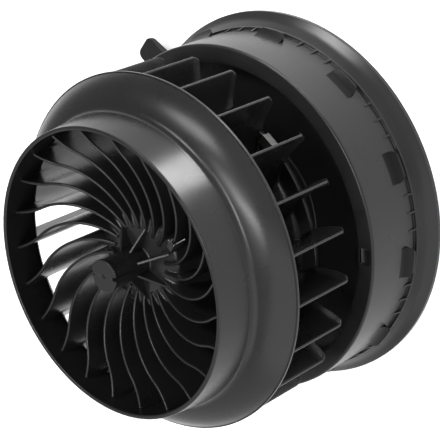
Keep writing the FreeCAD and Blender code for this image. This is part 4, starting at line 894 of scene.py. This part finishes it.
def lamps():
    """Three broad lamps make the black plastic's soft reflections. Two small ones near the part make the
    bright patches on the mouth's wall and on the flange."""
    lamp("lamp top", PART_MIDDLE, way=(0.02, -0.24, 0.955), along=(-0.65, -0.75, -0.1),
         distance=1.2, size=(0.66, 0.16), power=7.0)
    lamp("lamp high", PART_MIDDLE, way=(0.60, -0.19, 0.78), along=(0.30, 0.95, 0.0),
         distance=1.0, size=(0.45, 0.24), power=4.5)
    lamp("lamp low", (0.02, -0.055, 0.095), way=(0.62, -0.64, -0.45), along=(0.72, 0.70, 0.0),
         distance=0.135, size=(0.065, 0.05), power=0.032, beam=62)
    lamp("lamp near", (0.052, -0.06, 0.004), way=(0.78, -0.31, 0.54), along=(0.37, 0.93, 0.0),
         distance=0.13, size=(0.07, 0.045), power=0.026, beam=56)
    lamp("lamp far side", PART_MIDDLE, way=(-0.75, -0.40, 0.53), along=(0.47, -0.88, 0.0),
         distance=0.9, size=(1.2, 0.9), power=3.8)


def lamp(name, aim, way, along, distance, size, power, beam=180):
    """A soft rectangular lamp that faces a point from a direction, with its long side laid along another.
    beam is the width of its light in degrees."""
    light = bpy.data.lights.new(name, "AREA")
    light.shape = "RECTANGLE"
    light.size, light.size_y = size
    light.energy = power
    light.spread = math.radians(beam)
    made = placed(name, light)
    made.visible_camera = False
    way = Vector(way).normalized()
    across = way.cross(Vector(along)).normalized()
    turned = Matrix((across.cross(way), across, way)).transposed().to_4x4()
    made.matrix_world = Matrix.Translation(Vector(aim) + way * distance) @ turned


def seen_directly(tree):
    """One for rays from the camera, off gloss and through glass, and none for the light that falls on the
    part."""
    path = add(tree, "ShaderNodeLightPath").outputs
    clear = add(tree, "ShaderNodeMath", {0: path["Is Camera Ray"], 1: path["Is Transmission Ray"]},
                operation="MAXIMUM")
    return add(tree, "ShaderNodeMath", {0: clear.outputs[0], 1: path["Is Glossy Ray"]},
               operation="MAXIMUM").outputs[0]


def floor_material(c):
    """White paper sweep: it takes shadow, and shows white to the camera."""
    material = bpy.data.materials.new("paper sweep white")
    tree = empty_tree(material)
    direct = seen_directly(tree)
    paper = add(tree, "ShaderNodeBsdfDiffuse", {"Color": tuple(c.floor)})
    strength = add(tree, "ShaderNodeMath", {0: direct, 1: FLOOR_GLOW}, operation="MULTIPLY").outputs[0]
    glow = add(tree, "ShaderNodeEmission", {"Strength": strength})
    both = add(tree, "ShaderNodeAddShader", {0: paper.outputs[0], 1: glow.outputs[0]})
    add(tree, "ShaderNodeOutputMaterial", {"Surface": both.outputs[0]})
    return material


def world_light(scene):
    """A white room with one grey side, which gives the black plastic its dark reflections."""
    world = bpy.data.worlds.new("studio room")
    scene.world = world
    tree = empty_tree(world)
    direct = seen_directly(tree)
    way = add(tree, "ShaderNodeTexCoord").outputs["Generated"]
    near = add(tree, "ShaderNodeVectorMath", {0: way, 1: GREY_SIDE}, operation="DOT_PRODUCT").outputs["Value"]
    shown = add(tree, "ShaderNodeMapRange", {
        "Value": near, "From Min": GREY_FROM, "From Max": GREY_TO, "To Min": WHITE, "To Max": GREY},
        interpolation_type="SMOOTHSTEP").outputs["Result"]
    level = add(tree, "ShaderNodeMapRange", {
        "Value": direct, "To Min": LIGHT_ON_PART, "To Max": shown}).outputs["Result"]
    light = add(tree, "ShaderNodeBackground", {"Color": (1, 1, 1, 1), "Strength": level})
    add(tree, "ShaderNodeOutputWorld", {"Surface": light.outputs[0]})


def camera():
    """The photograph's camera: it looks at the mouth from one side, rolled so that +X is up."""
    lens = bpy.data.cameras.new("camera")
    lens.lens = 121.70
    lens.sensor_width = 36.0
    lens.clip_end = 20.0
    made = placed("camera", lens)
    back = np.array(CAMERA_WAY)
    right = np.cross(np.array(CAMERA_UP), back)
    right /= np.linalg.norm(right)
    up = np.cross(back, right)
    up /= np.linalg.norm(up)
    away = CAMERA_PLACE[0] * back + CAMERA_PLACE[1] * right + CAMERA_PLACE[2] * up
    place = np.array(RIM_CENTRE) + MOUTH_RADIUS * away
    rows = np.column_stack([right, up, back / np.linalg.norm(back)])
    made.matrix_world = Matrix.Translation(Vector(place)) @ Matrix(rows.tolist()).to_4x4()
    return made


# Operators

def wheel_piece(name, shape, bevel=0.0):
    """A piece of the fan wheel, which is one moulding."""
    piece(name, shape, "rotor", material_of("fan_plastic"), "fan_wheel", bevel)


def housing_piece(name, shape, look="housing_plastic", bevel=0.0):
    """A piece of the flanged housing, which is one moulding."""
    piece(name, shape, "housing", material_of(look), "flange_housing", bevel)


class BLOWER_OT_shroud(bpy.types.Operator):
    """Makes the fan wheel's shroud with its mouth"""
    bl_idname = "blower.shroud"
    bl_label = "Shroud"

    def execute(self, context):
        wheel_piece("fan_shroud", shroud_shape(context.scene.blower_wheel))
        return {"FINISHED"}


class BLOWER_OT_blades(bpy.types.Operator):
    """Makes the fan wheel's blades"""
    bl_idname = "blower.blades"
    bl_label = "Blades"

    def execute(self, context):
        w = context.scene.blower_wheel
        angles = w.blade_phase + equal_steps(w.blade_count)
        wheel_piece("fan_blades", repeated(blade_shape(w), angles))
        return {"FINISHED"}


class BLOWER_OT_hub(bpy.types.Operator):
    """Makes the fan wheel's hub with its boss, cap and webs"""
    bl_idname = "blower.hub"
    bl_label = "Hub"

    def execute(self, context):
        w = context.scene.blower_wheel
        wheel_piece("fan_hub", hub_shape(w))
        wheel_piece("fan_hub_webs", web_shape(w), WEB_BEVEL)
        return {"FINISHED"}


class BLOWER_OT_collar(bpy.types.Operator):
    """Makes the housing's shell with its flange and motor cup"""
    bl_idname = "blower.collar"
    bl_label = "Collar and flange"

    def execute(self, context):
        housing_piece("housing_shell", collar_shape(context.scene.blower_housing))
        return {"FINISHED"}


class BLOWER_OT_fixings(bpy.types.Operator):
    """Makes the housing's lugs, gussets, locking tab, ribs and screw bosses"""
    bl_idname = "blower.fixings"
    bl_label = "Lugs, gussets and tab"

    def execute(self, context):
        h = context.scene.blower_housing
        lugs = repeated(lug_shape(h), lug_angles(h))
        # The lugs take the darker finish, whose deeper black and weaker reflection are painted shade
        housing_piece("housing_lugs_painted_shade", lugs, look="housing_lugs_painted_shade", bevel=LUG_BEVEL)
        housing_piece("housing_gussets", repeated(gusset_shape(h), lug_angles(h)), bevel=GUSSET_BEVEL)
        housing_piece("housing_tab", repeated(tab_shape(h), h.tab_turn), bevel=TAB_BEVEL)
        housing_piece("housing_ribs", underside_shape(h), bevel=RIB_BEVEL)
        return {"FINISHED"}


class BLOWER_OT_inner_pieces(bpy.types.Operator):
    """Gives each piece that keeps its solid the finish of its real material"""
    bl_idname = "blower.inner_pieces"
    bl_label = "Inner pieces"

    def execute(self, context):
        slots = {entry["node"]: entry["material_slot"] for entry in frame["record"]["subparts"]}
        for name, node in frame["nodes"].items():
            node.data.materials.clear()
            node.data.materials.append(material_of(slots[name]))
        return {"FINISHED"}


class BLOWER_OT_studio(bpy.types.Operator):
    """Makes the pale floor, the soft lamps, the world and the camera"""
    bl_idname = "blower.studio"
    bl_label = "Studio"

    def execute(self, context):
        scene = context.scene
        corners = np.array([[-1, -1], [1, -1], [1, 1], [-1, 1]]) * FLOOR_HALF
        mesh = bpy.data.meshes.new("floor")
        mesh.from_pydata(np.column_stack([corners, np.full(4, -FLOOR_DROP)]).tolist(), [], [[0, 1, 2, 3]])
        mesh.materials.append(floor_material(scene.blower_colours))
        placed("floor", mesh)
        lamps()
        world_light(scene)
        scene.view_settings.view_transform = "Standard"
        scene.camera = camera()
        return {"FINISHED"}


class BLOWER_PT_panel(bpy.types.Panel):
    """Lists the pieces, their sizes and their colours"""
    bl_label = "Cabin blower motor"
    bl_space_type = "VIEW_3D"
    bl_region_type = "UI"
    bl_category = "Blower"

    def draw(self, context):
        for operator in OPERATORS:
            self.layout.operator(operator.bl_idname)
        for group in ("blower_wheel", "blower_housing", "blower_colours"):
            values = getattr(context.scene, group)
            box = self.layout.box()
            for name in values.__annotations__:
                box.prop(values, name)


OPERATORS = [BLOWER_OT_shroud, BLOWER_OT_blades, BLOWER_OT_hub, BLOWER_OT_collar, BLOWER_OT_fixings,
             BLOWER_OT_inner_pieces, BLOWER_OT_studio]
CLASSES = [BlowerWheel, BlowerHousing, BlowerColours] + OPERATORS + [BLOWER_PT_panel]


def register():
    """Registers the classes and puts the sizes and colours on the scene."""
    for item in CLASSES:
        bpy.utils.register_class(item)
    bpy.types.Scene.blower_wheel = bpy.props.PointerProperty(type=BlowerWheel)
    bpy.types.Scene.blower_housing = bpy.props.PointerProperty(type=BlowerHousing)
    bpy.types.Scene.blower_colours = bpy.props.PointerProperty(type=BlowerColours)


def unregister():
    """Takes the sizes and colours off the scene and the classes out again."""
    del bpy.types.Scene.blower_wheel
    del bpy.types.Scene.blower_housing
    del bpy.types.Scene.blower_colours
    for item in reversed(CLASSES):
        bpy.utils.unregister_class(item)


def main():
    """Runs every operator in order."""
    register()
    for operator in OPERATORS:
        group, name = operator.bl_idname.split(".")
        getattr(getattr(bpy.ops, group), name)()
    bpy.context.view_layer.update()


if __name__ == "__main__":
    main()
